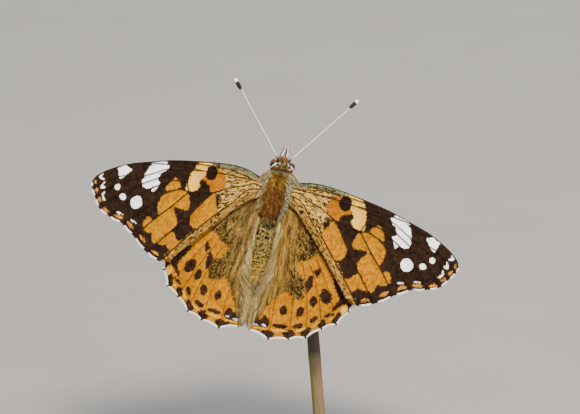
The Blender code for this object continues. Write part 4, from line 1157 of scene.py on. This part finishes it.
# Body: one skin of chitin over head, thorax and abdomen, which the fur hides but for the eyes.
# Rings round the body's line, each (y, how far aside, middle z, half width, half height) in mm.
HEAD_ASIDE = 0.3
BODY = [
    (-15.75, 0.0, -0.4, 0.10, 0.10), (-15.4, 0.0, -0.4, 0.42, 0.42), (-14.6, 0.0, -0.38, 0.70, 0.70),
    (-12.9, 0.0, -0.34, 1.19, 1.14), (-10.9, 0.0, -0.28, 1.48, 1.38), (-8.6, 0.0, -0.22, 1.54, 1.42),
    (-6.6, 0.0, -0.2, 1.48, 1.38), (-5.3, 0.0, -0.2, 1.14, 1.14), (-4.9, 0.0, -0.18, 1.15, 1.2),
    (-4.2, 0.0, -0.1, 1.42, 1.5), (-3.0, 0.0, -0.05, 1.85, 1.74), (-1.5, 0.0, 0.0, 2.05, 1.86),
    (0.0, 0.0, 0.0, 1.98, 1.82), (1.2, 0.05, 0.0, 1.68, 1.46), (1.9, 0.15, 0.0, 1.2, 1.06),
    (2.3, 0.25, 0.0, 1.0, 0.96), (2.7, HEAD_ASIDE, 0.05, 1.12, 1.1), (3.4, HEAD_ASIDE, 0.1, 1.2, 1.18),
    (4.05, HEAD_ASIDE, 0.05, 1.0, 1.0), (4.45, HEAD_ASIDE, -0.02, 0.55, 0.6), (4.6, HEAD_ASIDE, -0.05, 0.2, 0.2),
]
body_rows = smooth_rows(BODY, 320)
body_share = np.linspace(0.0, 1.0, len(body_rows))
ABDOMEN_RINGS = np.linspace(-14.6, -5.6, 8)
ring_dip = sum(np.exp(-((body_rows[:, 0] - groove) / 0.13) ** 2) for groove in ABDOMEN_RINGS)
body_rows[:, 3:] *= 1.0 - 0.06 * ring_dip[:, None]


def body_spots(share, angle):
    """Points of the skin at a share of the body's length and an angle from its top, and their normals."""
    spots = []
    for step in (0.0, 0.004):
        y, x, z, half_width, half_height = (
            np.interp(share + step, body_share, body_rows[:, column]) for column in range(5)
        )
        spots.append(np.stack([x + half_width * np.sin(angle), y, z + half_height * np.cos(angle)], axis=1))
    around = np.stack([half_width * np.cos(angle), 0 * angle, -half_height * np.sin(angle)], axis=1)
    normal = np.cross(spots[1] - spots[0], around)
    normal /= np.linalg.norm(normal, axis=1)[:, None] + 1e-12
    outward = np.stack([np.sin(angle), 0 * angle, np.cos(angle)], axis=1)
    normal *= np.sign((normal * outward).sum(axis=1))[:, None]
    return spots[0], normal


def body_tint(spots, clump, rng):
    """The body's own markings, for skin and fur alike, with each hair's small variation."""
    x, y, z = spots[:, 0], spots[:, 1], spots[:, 2]
    count = len(spots)
    side = np.abs(x - np.interp(y, (-5.0, -4.0, 0.5, 2.7), (0.0, -0.25, -0.25, HEAD_ASIDE)))
    colour = np.zeros((count, 3))

    def lay(codes, share):
        nonlocal colour
        over = tints(codes, 0.7 * clump + 0.3 * rng.random(count))
        colour = colour + (over - colour) * np.clip(share, 0, 1)[:, None]

    # Thorax: golden in front, rust behind a dark parting, olive at its edges, grey green beside
    edge = np.interp(y, (-4.5, -1.5, 0.8, 1.6), (1.25, 1.45, 1.05, 0.9))
    lay(("2A1C08", "74521C", "A67C34", "624A1A"), 1.0 + 0 * x)
    rust = between(y, -4.4, -0.4, 1.0) * smooth_step((edge - side) / 0.5)
    lay(("221206", "744C22", "341E0C", "A86C32", "5E3C1C"), rust)
    lay(("2A1E0C", "54421E"), between(side, edge - 0.4, edge, 0.3) * between(y, -4.6, 0.8, 0.8) * 0.6)
    lay(("140C05", "2A1A0A"), between(x, -0.5, -0.26, 0.1) * between(y, -0.5, 0.9, 0.3) * 0.9)
    lay(("24160A", "4E3416"), between(y, -5.4, -4.4, 0.6) * 0.7)
    lay(("4E4A30", "8A8260", "C2BC9A", "6E6C4C"), smooth_step((side - edge + 0.3 * (clump - 0.5)) / 0.3))
    gaps = (clump * 9.7) % 1.0 < 0.26
    lay(("0E0C0A", "26221E"), smooth_step((side - edge - 0.15) / 0.3) * between(y, -2.4, 1.2, 0.6) * gaps)
    # Abdomen: gold and black scales like pepper and salt, blackish green at its base, orange at its end
    abdomen = smooth_step((-4.95 - y) / 0.4)
    pepper = 0.35 * rng.random(count) + 0.65 * clump_picks(spots, 0.24, rng)
    lay(("6C5420", "A08440", "CCB064", "7C7236"), abdomen)
    lay(("0C0A05", "2E2612"), abdomen * (pepper < 0.44))
    lay(("080B06", "1E2416"), abdomen * between(y, -6.7, -5.3, 0.5) * 0.8 * smooth_step((1.1 - side) / 0.4))
    lay(("080604", "18100A"), between(y, -8.6, -8.1, 0.3) * between(x, -0.2, 0.5, 0.2) * 0.8)
    lay(("8E6A20", "CCA040", "E4C060"), smooth_step((-9.5 - y) / 4.5) * (pepper > 0.36) * 0.85)
    under = smooth_step((-z - 0.35) / 0.5)
    lay(("86795C", "AA9E84", "C4BCA8"), under * (1.0 - smooth_step((y - 1.7) / 0.4)))
    # Head: a grey green collar, a thin brown arch, dark and cream flecks, orange between the feelers
    head = smooth_step((y - 1.6) / 0.3)
    lay(("2C2A1A", "86825E", "5E5A3E", "A29C7A"), head)
    lay(("0C0805", "1E160C"), between(x, -0.1, 0.3, 0.2) * between(y, 1.9, 2.2, 0.2) * 0.8)
    lay(("6A5A38", "94804E"), smooth_step((y - 2.3) / 0.15))
    lay(("3E2614", "7A5434", "5A3A22"), between(y, 2.4, 2.88, 0.15) * smooth_step((1.0 - side) / 0.2))
    lay(("2E2410", "7A6432", "4E3E1E", "8A6C38"), smooth_step((y - 2.85) / 0.15))
    flecks = 0.5 * rng.random(count) + 0.5 * clump_picks(spots * (1.0, 1.0, 0.2), 0.2, rng)
    lay(("C0A870", "E4D4AC"), between(y, 2.85, 4.3, 0.2) * (flecks < 0.22) * 0.9)
    lay(("0A0705", "1C120A"), between(y, 2.85, 4.3, 0.2) * (flecks > 0.66) * 0.9)
    lay(("D0BE90", "F0E4C8"), between(side, 0.55, 0.85, 0.12) * between(y, 3.35, 3.65, 0.12))
    lay(("6E3A14", "A8642C", "8A4A1C"), smooth_step((y - 4.1) / 0.2) * smooth_step((0.5 - side) / 0.2) * 0.85)
    lay(("948A70", "BEB8A4"), head * under)
    return np.clip(colour, 0.0, 1.0)


# Chitin under the fur: dull, with nine fine pits to the millimetre, in the coat's own colours so
# that no bald spot shows
chitin, tree, skin = new_material("furred_body_chitin", 0.7, 0.2)
tint = add_node(tree, "ShaderNodeAttribute", attribute_name="tint").outputs["Color"]
place = add_node(tree, "ShaderNodeTexCoord").outputs["Object"]
pits = add_node(tree, "ShaderNodeTexNoise", {"Vector": place, "Scale": 9.0 / MM, "Detail": 4.0})
dark = add_node(tree, "ShaderNodeMapRange", {0: pits, 1: 0.3, 2: 0.7, 3: 0.3, 4: 0.7})
shade = add_node(tree, "ShaderNodeMix", {0: 1.0, 6: tint, 7: dark}, data_type="RGBA", blend_type="MULTIPLY")
tree.links.new(shade.outputs[2], skin["Base Color"])
relief = add_node(tree, "ShaderNodeBump", {"Height": pits, "Strength": 0.6, "Distance": 0.06 * MM})
tree.links.new(relief.outputs[0], skin["Normal"])

BODY_SIDES = 72
SKIN_ROWS = 200
grid_share = np.repeat(np.linspace(0.0, 0.9999, SKIN_ROWS), BODY_SIDES)
skin_spots, _ = body_spots(grid_share, np.tile(angles_round(BODY_SIDES), SKIN_ROWS))
skin_spots = np.vstack([skin_spots, [(0.0, -15.8, -0.4)], [(HEAD_ASIDE, 4.65, -0.05)]])
skin_faces = [tuple(reversed(face)) for face in rows_to_faces(SKIN_ROWS, BODY_SIDES)]
body = new_piece("body_skin", to_world(skin_spots), skin_faces, [chitin], ("thorax", "abdomen", "head"))
rng = np.random.default_rng(5)
keep_values(body.data, "tint", body_tint(skin_spots, rng.random(len(skin_spots)), rng), "FLOAT_COLOR")


# Body fur: soft hair in small locks that parts on the thorax and lies back, short flat scales on
# the abdomen with a tuft at its end, short tufts on the head, and a ruff behind it
EYE_ASIDE = 1.34
EYE_MIDDLE = np.array([HEAD_ASIDE, 3.38, 0.1])
EYE_HALF = np.array([0.74, 0.90, 0.98])
ROOT_DEPTH = 0.03

# Body hair and scales: soft, dull chitin, each in the tint of its place on the body
body_hair = hair_finish("body_hair", 0.6, 0.12)
short_hair = single_hair("short_hair", 3, (0.0, 0.45, 0.8, 1.0), (1.0, 0.9, 0.55), 1.0, 0.5)
body_scale = single_hair("body_scale", 3, (0.0, 0.5, 1.0), (0.8, 1.0), 1.0, 0.3)


def lay_fur(name, hair, spots, normal, want, stand, sizes, root, tint, rng, short=1.0):
    """A coat from roots with normals: want is the way each hair would lie, stand how far it stands up,
    and sizes its ranges of length, width and bow."""
    lie = unit(want - normal * (want * normal).sum(axis=1)[:, None])
    lie = unit(lie + normal * np.asarray(stand).reshape(-1, 1))
    length, width, bow = sizes
    count = len(spots)
    size = [rng.uniform(*width, count), rng.uniform(*bow, count), short * rng.uniform(*length, count)]
    coat_piece(name, hair, {
        "at": to_world(spots - normal * ROOT_DEPTH), "lie": lie @ POSE_TURN.T, "up": normal @ POSE_TURN.T,
        "size": np.stack(size, axis=1), "root": root, "tint": tint,
    }, body_hair)


def from_eyes(spots):
    """How far each spot is from the middle of the nearer eye, in the eye's own half sizes."""
    return np.linalg.norm((np.abs(spots - EYE_MIDDLE) - (EYE_ASIDE, 0, 0)) / EYE_HALF, axis=1)


def unwrap_round(turn, share):
    """The unwrap of a tube: once round it, and along its length."""
    return np.stack([turn / (2 * pi) * 0.9 + 0.04, share * 0.9 + 0.04, 0 * turn], axis=1)


def fur(name, hair, count, low, high, sizes, stand, lean, seed, lock=0.4):
    """Fur over a stretch of the body from low to high along y; lean gives its lie at each root."""
    rng = np.random.default_rng(seed)
    share = np.interp(rng.uniform(low, high, count * 2), body_rows[:, 0], body_share)
    girth = np.interp(share, body_share, body_rows[:, 3])
    share = share[rng.random(count * 2) < girth / girth.max()][:count]
    angle = rng.uniform(0.0, 2 * pi, len(share))
    spots, normal = body_spots(share, angle)
    clear = from_eyes(spots) > 1.0
    spots, normal, share, angle = spots[clear], normal[clear], share[clear], angle[clear]
    clump = clump_picks(spots, lock, rng)
    lots = [(clump * much) % 1.0 for much in (1.0, 7.3, 3.7, 5.1)]
    want = lean(spots, rng) + (np.stack(lots[:3], axis=1) - 0.5) * 0.9
    tint = body_tint(spots, clump_picks(spots, 0.6 * lock, rng), rng)
    lay_fur(name, hair, spots, normal, want, stand + 0.3 * (lots[3] - 0.5), sizes, unwrap_round(angle, share), tint,
            rng, short=0.4 + 0.6 * smooth_step((from_eyes(spots) - 1.0) / 0.4))


def wander(spots, rng, lie, spread):
    """Ways that a set lie gives, each a little astray in x, y and z."""
    return np.stack([part + rng.normal(0, far, len(spots)) if far else part + np.zeros(len(spots))
                     for part, far in zip(lie, spread)], axis=1)


def lie_back(spots, rng):
    """Backwards along the body, spreading a little to each side."""
    return wander(spots, rng, (0.16 * spots[:, 0], -1.0, 0.0), (0.2, 0.0, 0.12))


def lie_head(spots, rng):
    """Forwards over the crown and outwards round the face."""
    return wander(spots, rng, (0.15 * (spots[:, 0] - HEAD_ASIDE), 0.7, 0.3 * spots[:, 2]), (0.3, 0.3, 0.3))


def lie_out(spots, rng):
    """Outwards from the neck, a little back, so that the ruff hides it."""
    return wander(spots, rng, (0.25 * np.sign(spots[:, 0] - 0.2), -0.6, 0.0), (0.2, 0.3, 0.2))


fur("thorax_fur", short_hair, 9600, -5.6, 1.7, ((0.5, 1.15), (0.05, 0.085), (0.15, 0.4)), 0.2, lie_back, 11)
fur("thorax_locks", short_hair, 700, -4.8, 0.8, ((1.0, 1.5), (0.06, 0.09), (0.25, 0.5)), 0.4, lie_back, 14, 0.25)
fur("abdomen_scales", body_scale, 12500, -15.6, -4.9, ((0.2, 0.36), (0.09, 0.14), (0.03, 0.1)), 0.12, lie_back, 12,
    0.2)
fur("tail_tuft", short_hair, 420, -15.72, -14.7, ((0.5, 0.95), (0.05, 0.08), (0.02, 0.15)), 0.05, lie_back, 16, 0.2)
fur("head_fur", short_hair, 4800, 2.2, 4.55, ((0.2, 0.42), (0.05, 0.08), (0.06, 0.18)), 0.45, lie_head, 13, 0.2)
fur("neck_ruff", short_hair, 3600, 1.5, 2.5, ((0.45, 0.8), (0.05, 0.08), (0.05, 0.2)), 1.4, lie_out, 15, 0.25)


# Shoulders: a furred lappet over the root of each forewing, orange brown in front and grey green
# towards the thorax
def limb_piece(name, path, radii, side_count, finish, replaced=()):
    """A round piece along a path in the specimen's frame."""
    return new_piece(name, to_world(tube_points(path, radii, side_count)), rows_to_faces(len(path), side_count),
                     [finish], replaced)


LAPPET_ROWS = 24
LAPPETS = {
    "left": [(-1.2, 2.0, 0.45), (-1.75, 1.7, 0.55), (-2.5, 0.95, 0.7), (-3.15, 0.15, 0.9)],
    "right": [(1.5, 2.2, 0.45), (2.1, 1.95, 0.55), (2.9, 1.25, 0.7), (3.6, 0.6, 0.9)],
}
for number, (label, corners) in enumerate(LAPPETS.items()):
    rng = np.random.default_rng(20 + number)
    path = smooth_rows(corners, LAPPET_ROWS)
    radii = np.interp(np.linspace(0, 1, LAPPET_ROWS), (0.0, 0.3, 0.7, 1.0), (0.22, 0.26, 0.2, 0.08))
    lappet = limb_piece("shoulder_lappet_" + label, path, radii, LAPPET_ROWS, chitin)
    keep_values(lappet.data, "tint", [linear("6A4A28")[:3]] * len(lappet.data.vertices), "FLOAT_COLOR")
    count = 1500
    ahead, across, up = tube_frames(path)
    at = rng.integers(0, LAPPET_ROWS, count)
    turn = rng.uniform(0.0, 2 * pi, count)
    normal = across[at] * np.cos(turn)[:, None] + up[at] * np.sin(turn)[:, None]
    spots = path[at] + normal * radii[at][:, None] + ahead[at] * rng.uniform(-0.06, 0.06, count)[:, None]
    clump = clump_picks(spots, 0.2, rng)
    front = normal @ np.array([np.sign(path[-1, 0]) * 0.7, 0.7, 0.0])
    front = smooth_step((front + 0.1 + 0.5 * (clump - 0.5)) / 0.3)[:, None]
    tint = tints(("46442E", "8A8766", "B0AC8A", "2E2A20"), clumped(clump, 0.6, rng))
    tint += (tints(("4A3220", "8A6640", "B28E64", "6A4C30"), clumped(clump, 0.6, rng)) - tint) * front
    lay_fur("shoulder_fur_" + label, short_hair, spots, normal, ahead[at] + rng.normal(0, 0.25, (count, 3)), 0.25,
            ((0.3, 0.6), (0.05, 0.08), (0.06, 0.18)), unwrap_round(turn, at / LAPPET_ROWS), tint, rng)


# Eyes: two domes of many facets, set into the sides of the head, brown with a black band. A
# crescent of white scales and the head's fur come up behind each.

# Compound eye: glossy facets 0.055 mm across, which is coarser than the real ones so that they
# show, blotched in two browns with a band of black
eye_glaze, tree, skin = new_material("compound_eye", 0.3, 0.3, Coat_Weight=0.25, Coat_Roughness=0.12)
place = add_node(tree, "ShaderNodeTexCoord").outputs["Object"]
facets = add_node(tree, "ShaderNodeTexVoronoi", {"Vector": place, "Scale": 1.0 / (0.055 * MM), "Randomness": 0.15})
blotch = add_node(tree, "ShaderNodeTexNoise", {"Vector": place, "Scale": 2.6 / MM})
blotch = add_node(tree, "ShaderNodeMapRange", {0: blotch, 1: 0.35, 2: 0.65})
brown = add_node(tree, "ShaderNodeMix", {0: blotch, 6: linear("2A1206"), 7: linear("743C12")}, data_type="RGBA")
band = add_node(tree, "ShaderNodeAttribute", attribute_name="band").outputs["Fac"]
shade = add_node(tree, "ShaderNodeMix", {0: band, 6: brown.outputs[2], 7: linear("121216")}, data_type="RGBA")
tree.links.new(shade.outputs[2], skin["Base Color"])
relief = add_node(tree, "ShaderNodeBump", {"Height": facets.outputs["Distance"], "Strength": 0.35,
                                           "Distance": 0.02 * MM}, invert=True)
tree.links.new(relief.outputs[0], skin["Normal"])

EYE_AXIS = np.array([0.437, 0.745, -0.504])
RING_AT = -0.45
PUPIL = np.array([-0.42, 0.14, 0.9])
PUPIL_REACH = 0.3
PUPIL_RIM = 0.42
EYE_SIDES = 56
tilt = np.linspace(0.0, pi, 42)[1:-1, None]
turns = angles_round(EYE_SIDES)
ball = np.stack([np.cos(tilt) + 0 * turns, np.sin(tilt) * np.cos(turns), np.sin(tilt) * np.sin(turns)], axis=2)
ball = np.vstack([ball.reshape(-1, 3), [(1.0, 0.0, 0.0)], [(-1.0, 0.0, 0.0)]])
for label, side in (("left", -1), ("right", 1)):
    mirror = np.array([side, 1.0, 1.0])
    middle = EYE_MIDDLE + (side * EYE_ASIDE, 0.0, 0.0)
    faces = [face[::side] for face in rows_to_faces(len(tilt), EYE_SIDES)]
    eye = new_piece("eye_" + label + "_faceted", to_world(middle + ball * EYE_HALF * mirror), faces, [eye_glaze],
                    ("eye_" + label,))
    keep_values(eye.data, "band", between(ball @ EYE_AXIS - RING_AT, -0.2, 0.5, 0.12))
    rng = np.random.default_rng(80 + side)
    way = unit(rng.normal(0.0, 1.0, (9000, 3)))
    behind = RING_AT - way @ EYE_AXIS
    for kind, hair, inside, count, codes, length, stand in (
        ("white_ring", body_scale, (behind > -0.07) & (behind < 0.05), 360, ("C8C4BC", "FFFFFF", "FFFFFF"),
         (0.14, 0.24), 0.15),
        ("back_fur", short_hair, (behind > 0.05) & (way[:, 0] > -0.75), 1000,
         ("46301A", "8A6234", "6A4822", "B89C68"), (0.18, 0.34), 0.4),
    ):
        picked = way[inside][:count]
        spots = middle + picked * EYE_HALF * mirror
        normal = unit(picked / EYE_HALF * mirror)
        clump = clump_picks(spots, 0.15, rng)
        want = np.cross(picked, EYE_AXIS) * mirror
        if kind == "back_fur":
            want = np.tile((0.3 * side, -0.8, 0.0), (len(picked), 1))
        root = np.column_stack([0.5 + 0.45 * picked[:, 1:], 0 * clump])
        tint = tints(codes, clumped(clump, 0.6, rng))
        from_pupil = np.linalg.norm(picked - PUPIL, axis=1)[:, None]
        if kind == "back_fur":
            tint = np.where((from_pupil > PUPIL_REACH) & (from_pupil < PUPIL_RIM), linear("F4ECDC")[:3], tint)
        tint = np.where(from_pupil < PUPIL_REACH, linear("101014")[:3], tint)
        lay_fur("eye_" + label + "_" + kind, hair, spots, normal, want + rng.normal(0, 0.15, want.shape), stand,
                (length, (0.06, 0.09), (0.02, 0.08)), root, tint, rng)


# Palps: two scaled feelers for the mouth that point forward between the antennae, white above,
# dark along the edges and rusty at the foot

# Palp chitin: dull brown with a paler grain, seen only between its scales
palp_skin = grained_material("palp_chitin", 0.7, 0.2, 7.0, 2.0, "453527", "91826C")
PALP_ROWS = 30


def tube_fur(name, path, radii, count, sizes, tint_of, seed, end=1.0):
    """Scales over a limb as far as a share of it, lying along it; tint_of gives their tints from the
    share of the limb and the way they face."""
    rng = np.random.default_rng(seed)
    ahead, across, up = tube_frames(path)
    share = rng.uniform(0.0, end, count)
    at = share * (len(path) - 1)
    low = np.minimum(at.astype(int), len(path) - 2)
    part = (at - low)[:, None]
    turn = rng.uniform(0.0, 2 * pi, count)
    normal = across[low] * np.cos(turn)[:, None] + up[low] * np.sin(turn)[:, None]
    thick = np.column_stack([path, radii])
    thick = thick[low] * (1 - part) + thick[low + 1] * part
    spots = thick[:, :3] + normal * thick[:, 3:]
    want = ahead[low] + rng.normal(0.0, 0.14, (count, 3))
    lay_fur(name, body_scale, spots, normal, want, 0.0, sizes, unwrap_round(turn, share),
            tint_of(share, normal, rng), rng)


def palp_tint(side, share, normal, rng):
    """White scales, dark ones along both edges and rusty ones at the foot."""
    count = len(share)
    colour = tints(("D8D0C4", "FFFCF4"), rng.random(count))
    edge = smooth_step((np.abs(normal[:, 0] * side - 0.1) - 0.42) / 0.25)[:, None]
    colour += (tints(("1C1016", "4C3440"), rng.random(count)) - colour) * edge
    foot = smooth_step((0.36 - share) / 0.2)[:, None]
    return colour + (tints(("5F270A", "915220"), rng.random(count)) - colour) * foot


for label, side in (("left", -1), ("right", 1)):
    path = smooth_rows([(HEAD_ASIDE + aside + side * apart, y, z) for aside, apart, y, z in (
        (0.0, 0.45, 4.1, -0.7), (0.1, 0.42, 4.9, -0.68), (0.14, 0.32, 5.6, -0.4), (0.1, 0.2, 6.3, 0.1),
    )], PALP_ROWS)
    radii = np.interp(np.linspace(0.0, 1.0, PALP_ROWS), (0.0, 0.35, 0.75, 1.0), (0.24, 0.3, 0.2, 0.05))
    limb_piece("palp_" + label + "_core", path, radii, 20, palp_skin, ("palp_" + label,))
    tube_fur("palp_" + label + "_scales", path, radii, 1100, ((0.2, 0.4), (0.05, 0.08), (0.03, 0.1)),
             lambda *told: palp_tint(side, *told), 90 + side)


# Antennae: clubbed feelers of some forty rings each, dark brown below and along the sides, white
# scaled above, with a black club that ends in a pale tip
RING_LENGTH = 0.34

# Antenna chitin: near black and satin, with a band of white scales on the upper side of each ring
feeler_skin, tree, skin = new_material("ringed_antenna_chitin", 0.55, 0.25)
along, pale, tip = (add_node(tree, "ShaderNodeAttribute", attribute_name=name).outputs["Fac"]
                    for name in ("along", "pale", "tip"))
ringing = add_node(tree, "ShaderNodeMath", {0: along, 1: 1.0 / RING_LENGTH}, operation="MULTIPLY")
ringing = add_node(tree, "ShaderNodeMath", {0: ringing}, operation="FRACT")
white = add_node(tree, "ShaderNodeMapRange", {0: ringing, 1: 0.16, 2: 0.24}, interpolation_type="SMOOTHSTEP")
white = add_node(tree, "ShaderNodeMath", {0: white, 1: pale}, operation="MULTIPLY")
shade = add_node(tree, "ShaderNodeMix", {0: white, 6: linear("0B0807"), 7: linear("E2DCE2")}, data_type="RGBA")
shade = add_node(tree, "ShaderNodeMix", {0: tip, 6: shade.outputs[2], 7: linear("F2E8D8")}, data_type="RGBA")
tree.links.new(shade.outputs[2], skin["Base Color"])

ANTENNA_REACH = {"left": 15.38, "right": 16.37}
ANTENNA_ROWS = 260
ANTENNA_SIDES = 16
for label, side in (("left", -1), ("right", 1)):
    root = np.array([0.5 * HEAD_ASIDE + side * 0.68, 4.0, 0.75])
    end = np.array([side * 10.28, ANTENNA_REACH[label], -0.3])
    length = np.linalg.norm(end - root)
    along = np.linspace(0.0, length, ANTENNA_ROWS)
    sag = 0.12 * np.sin(pi * along / length)
    path = root + (end - root) * (along / length)[:, None] + np.array([0.0, 0.0, 1.0]) * sag[:, None]
    radii = np.interp(along, (0.0, 0.3, length - 2.6, length - 1.5, length - 0.5, length - 0.15, length),
                      (0.2, 0.155, 0.145, 0.31, 0.33, 0.24, 0.08))
    joint = np.abs(((along / RING_LENGTH) % 1.0) - 0.5) * 2
    radii = radii * (1.0 - 0.13 * joint**6)
    feeler = limb_piece("antenna_" + label + "_ringed", path, radii, ANTENNA_SIDES, feeler_skin,
                        ("antenna_" + label,))
    ring_of = np.append(np.repeat(along, ANTENNA_SIDES), (0.0, length))
    _, across, up = tube_frames(path)
    turns = angles_round(ANTENNA_SIDES)
    upward = (across[:, None, 2] * np.cos(turns) + up[:, None, 2] * np.sin(turns)).ravel()
    above = np.append(smooth_step((upward - 0.55) / 0.3), (0.0, 0.0))
    shaft = smooth_step((length - 1.9 - ring_of) / 0.4) * smooth_step((ring_of - 0.4) / 1.2)
    keep_values(feeler.data, "along", ring_of)
    keep_values(feeler.data, "pale", above * shaft)
    keep_values(feeler.data, "tip", smooth_step((ring_of - length + 0.75) / 0.2))


# Proboscis: the drinking tube, coiled like a watch spring under the face. It is two half tubes of
# chitin that lie together as one.
RIB_LENGTH = 0.09

# Proboscis chitin: brown with a dull gleam, ribbed all round
tube_skin, tree, skin = new_material("ribbed_proboscis_chitin", 0.4, 0.5)
along = add_node(tree, "ShaderNodeAttribute", attribute_name="along").outputs["Fac"]
ribbing = add_node(tree, "ShaderNodeMath", {0: along, 1: 2 * pi / RIB_LENGTH}, operation="MULTIPLY")
ribbing = add_node(tree, "ShaderNodeMath", {0: ribbing}, operation="SINE")
shade = add_node(tree, "ShaderNodeMapRange", {0: ribbing, 1: -1.0, 2: 1.0})
shade = add_node(tree, "ShaderNodeMix", {0: shade, 6: linear("221209"), 7: linear("5F3C1F")}, data_type="RGBA")
tree.links.new(shade.outputs[2], skin["Base Color"])
relief = add_node(tree, "ShaderNodeBump", {"Height": ribbing, "Strength": 0.4, "Distance": 0.02 * MM})
tree.links.new(relief.outputs[0], skin["Normal"])

COIL_ROWS = 220
COIL_SIDES = 14
share = np.linspace(0.0, 1.0, COIL_ROWS)
turn = radians(125.0) - radians(870.0) * share
reach = 0.84 - 0.62 * share
path = np.stack([HEAD_ASIDE + 0.04 * share, 4.3 + reach * np.cos(turn), -2.35 + reach * np.sin(turn)], axis=1)
radii = np.interp(share, (0.0, 0.6, 1.0), (0.13, 0.1, 0.05))
coil = limb_piece("proboscis_coil", path, radii, COIL_SIDES, tube_skin, ("proboscis",))
steps = np.append(0.0, np.cumsum(np.linalg.norm(np.diff(path, axis=0), axis=1)))
keep_values(coil.data, "along", np.append(np.repeat(steps, COIL_SIDES), (0.0, steps[-1])))


# Legs: short brush-like front legs folded at the breast, and two jointed pairs, scaled in cream
# and grey, that grip the stem with small dark claws

# Leg chitin: dull, cream to brown, with eight grains to the millimetre for its finest scales
leg_skin = grained_material("scaled_leg_chitin", 0.55, 0.3, 8.0, 3.0, "523F29", "9E8A6A")
# Claw horn: bare dark chitin, smooth enough to gleam
claw_horn = grained_material("dark_claw_horn", 0.3, 0.5, 9.0, 2.0, "0F0906", "2C1A0F")
FEMUR_LENGTH = 3.9
TIBIA_LENGTH = 3.7
GRIP_GAP = 0.42
LEG_ROWS = 150
FORELEG_ROWS = 40
CLAW_ROWS = 16
TARSUS_FROM = 0.8
TARSUS_JOINT = 0.04
LEGS = {
    "midleg": {"hip": (0.95, -0.9, -1.6), "below_top": 1.6, "foot": 1.9, "out": (1.0, 0.55, -0.1)},
    "hindleg": {"hip": (0.95, -3.0, -1.5), "below_top": 5.4, "foot": 2.2, "out": (1.0, -0.5, -0.1)},
}


def stem_spot(below_top):
    """The middle of the stem some way below its top, in the specimen's frame."""
    return (stem_point(np.array(stem_top[2] - below_top)) - np.array(SPECIMEN_AT) / MM) @ POSE_TURN


def grip(side, below_top, lift):
    """A spot beside the stem in the specimen's frame, turned up by lift towards the body."""
    middle = stem_spot(below_top)
    down = unit(stem_spot(below_top + 0.5) - middle)
    to_body = unit(np.array([0.0, 0.0, 1.0]) - down * down[2])
    across = np.cross(down, to_body)
    across *= np.sign(across[0] * side)
    return middle + (across * cos(lift) + to_body * sin(lift)) * (STEM_RADIUS + GRIP_GAP)


def knee_between(hip, ankle, out):
    """The knee of a leg with a femur and a tibia of set lengths, bent outwards."""
    run = ankle - hip
    way = unit(run)
    reach = min(np.linalg.norm(run), 0.97 * (FEMUR_LENGTH + TIBIA_LENGTH))
    share = (FEMUR_LENGTH**2 - TIBIA_LENGTH**2 + reach**2) / (2 * reach)
    return hip + way * share + unit(out - way * np.dot(out, way)) * sqrt(FEMUR_LENGTH**2 - share**2)


def leg_tint(share, normal, rng):
    """Cream scales with grey and brown ones among them, browner towards the foot."""
    colour = tints(("524A37", "9E947D", "BEB7A9", "84775D"), rng.random(len(share)))
    brown = tints(("6C451F", "9E7945"), rng.random(len(share)))
    return colour + (brown - colour) * smooth_step((share - 0.62) / 0.2)[:, None] * 0.8


def leg_piece(name, path, radii, seed, hairs):
    """A limb's core with its scales over it."""
    limb_piece(name + "_core", path, radii, 18, leg_skin, (name,))
    tube_fur(name + "_scales", path, radii, hairs, ((0.2, 0.42), (0.05, 0.09), (0.02, 0.09)), leg_tint, seed,
             0.97)


for label, side in (("left", -1), ("right", 1)):
    path = smooth_rows([(side * 0.85, 0.3, -1.3), (side * 0.85, 1.1, -2.25), (side * 0.85, 2.1, -2.35),
                        (side * 0.75, 3.1, -1.98)], FORELEG_ROWS)
    radii = np.interp(np.linspace(0, 1, FORELEG_ROWS), (0.0, 0.3, 0.8, 1.0), (0.26, 0.26, 0.2, 0.08))
    leg_piece("foreleg_" + label, path, radii, 120 + side, 900)
    for number, (kind, leg) in enumerate(LEGS.items()):
        hip = np.array(leg["hip"]) * (side, 1, 1)
        ankle = grip(side, leg["below_top"], radians(20.0))
        toe = grip(side, leg["below_top"] + leg["foot"], radians(12.0))
        knee = knee_between(hip, ankle, np.array(leg["out"]) * (side, 1, 1))
        path = smooth_rows([hip, hip + (knee - hip) * 0.5, hip + (knee - hip) * 0.92, knee + (ankle - knee) * 0.1,
                            knee + (ankle - knee) * 0.6, ankle, ankle + (toe - ankle) * 0.5, toe], LEG_ROWS)
        along = np.linspace(0.0, 1.0, LEG_ROWS)
        radii = np.interp(along, (0.0, 0.1, 0.25, 0.385, 0.41, 0.5, 0.7, 0.79, 0.81, 1.0),
                          (0.2, 0.3, 0.28, 0.17, 0.16, 0.2, 0.17, 0.15, 0.12, 0.09))
        joint = np.abs(((along - TARSUS_FROM) / TARSUS_JOINT % 1.0) - 0.5) * 2
        radii *= 1.0 - 0.22 * smooth_step((along - TARSUS_FROM) / 0.02) * joint
        leg_piece(kind + "_" + label, path, radii, 130 + 4 * number + side, 1900)
        way = unit(toe - ankle)
        inward = unit(stem_spot(leg["below_top"] + leg["foot"] + 0.3) - toe)
        aside = np.cross(way, inward)
        for end, hook in (("_claw_a", -1), ("_claw_b", 1)):
            claw = smooth_rows([toe + way * ahead + aside * hook * apart + inward * down for ahead, apart, down in (
                (-0.05, 0.0, 0.0), (0.18, 0.09, 0.0), (0.3, 0.14, 0.1), (0.3, 0.14, 0.25),
            )], CLAW_ROWS)
            limb_piece(kind + "_" + label + end, claw, np.linspace(0.055, 0.012, CLAW_ROWS), 10, claw_horn)
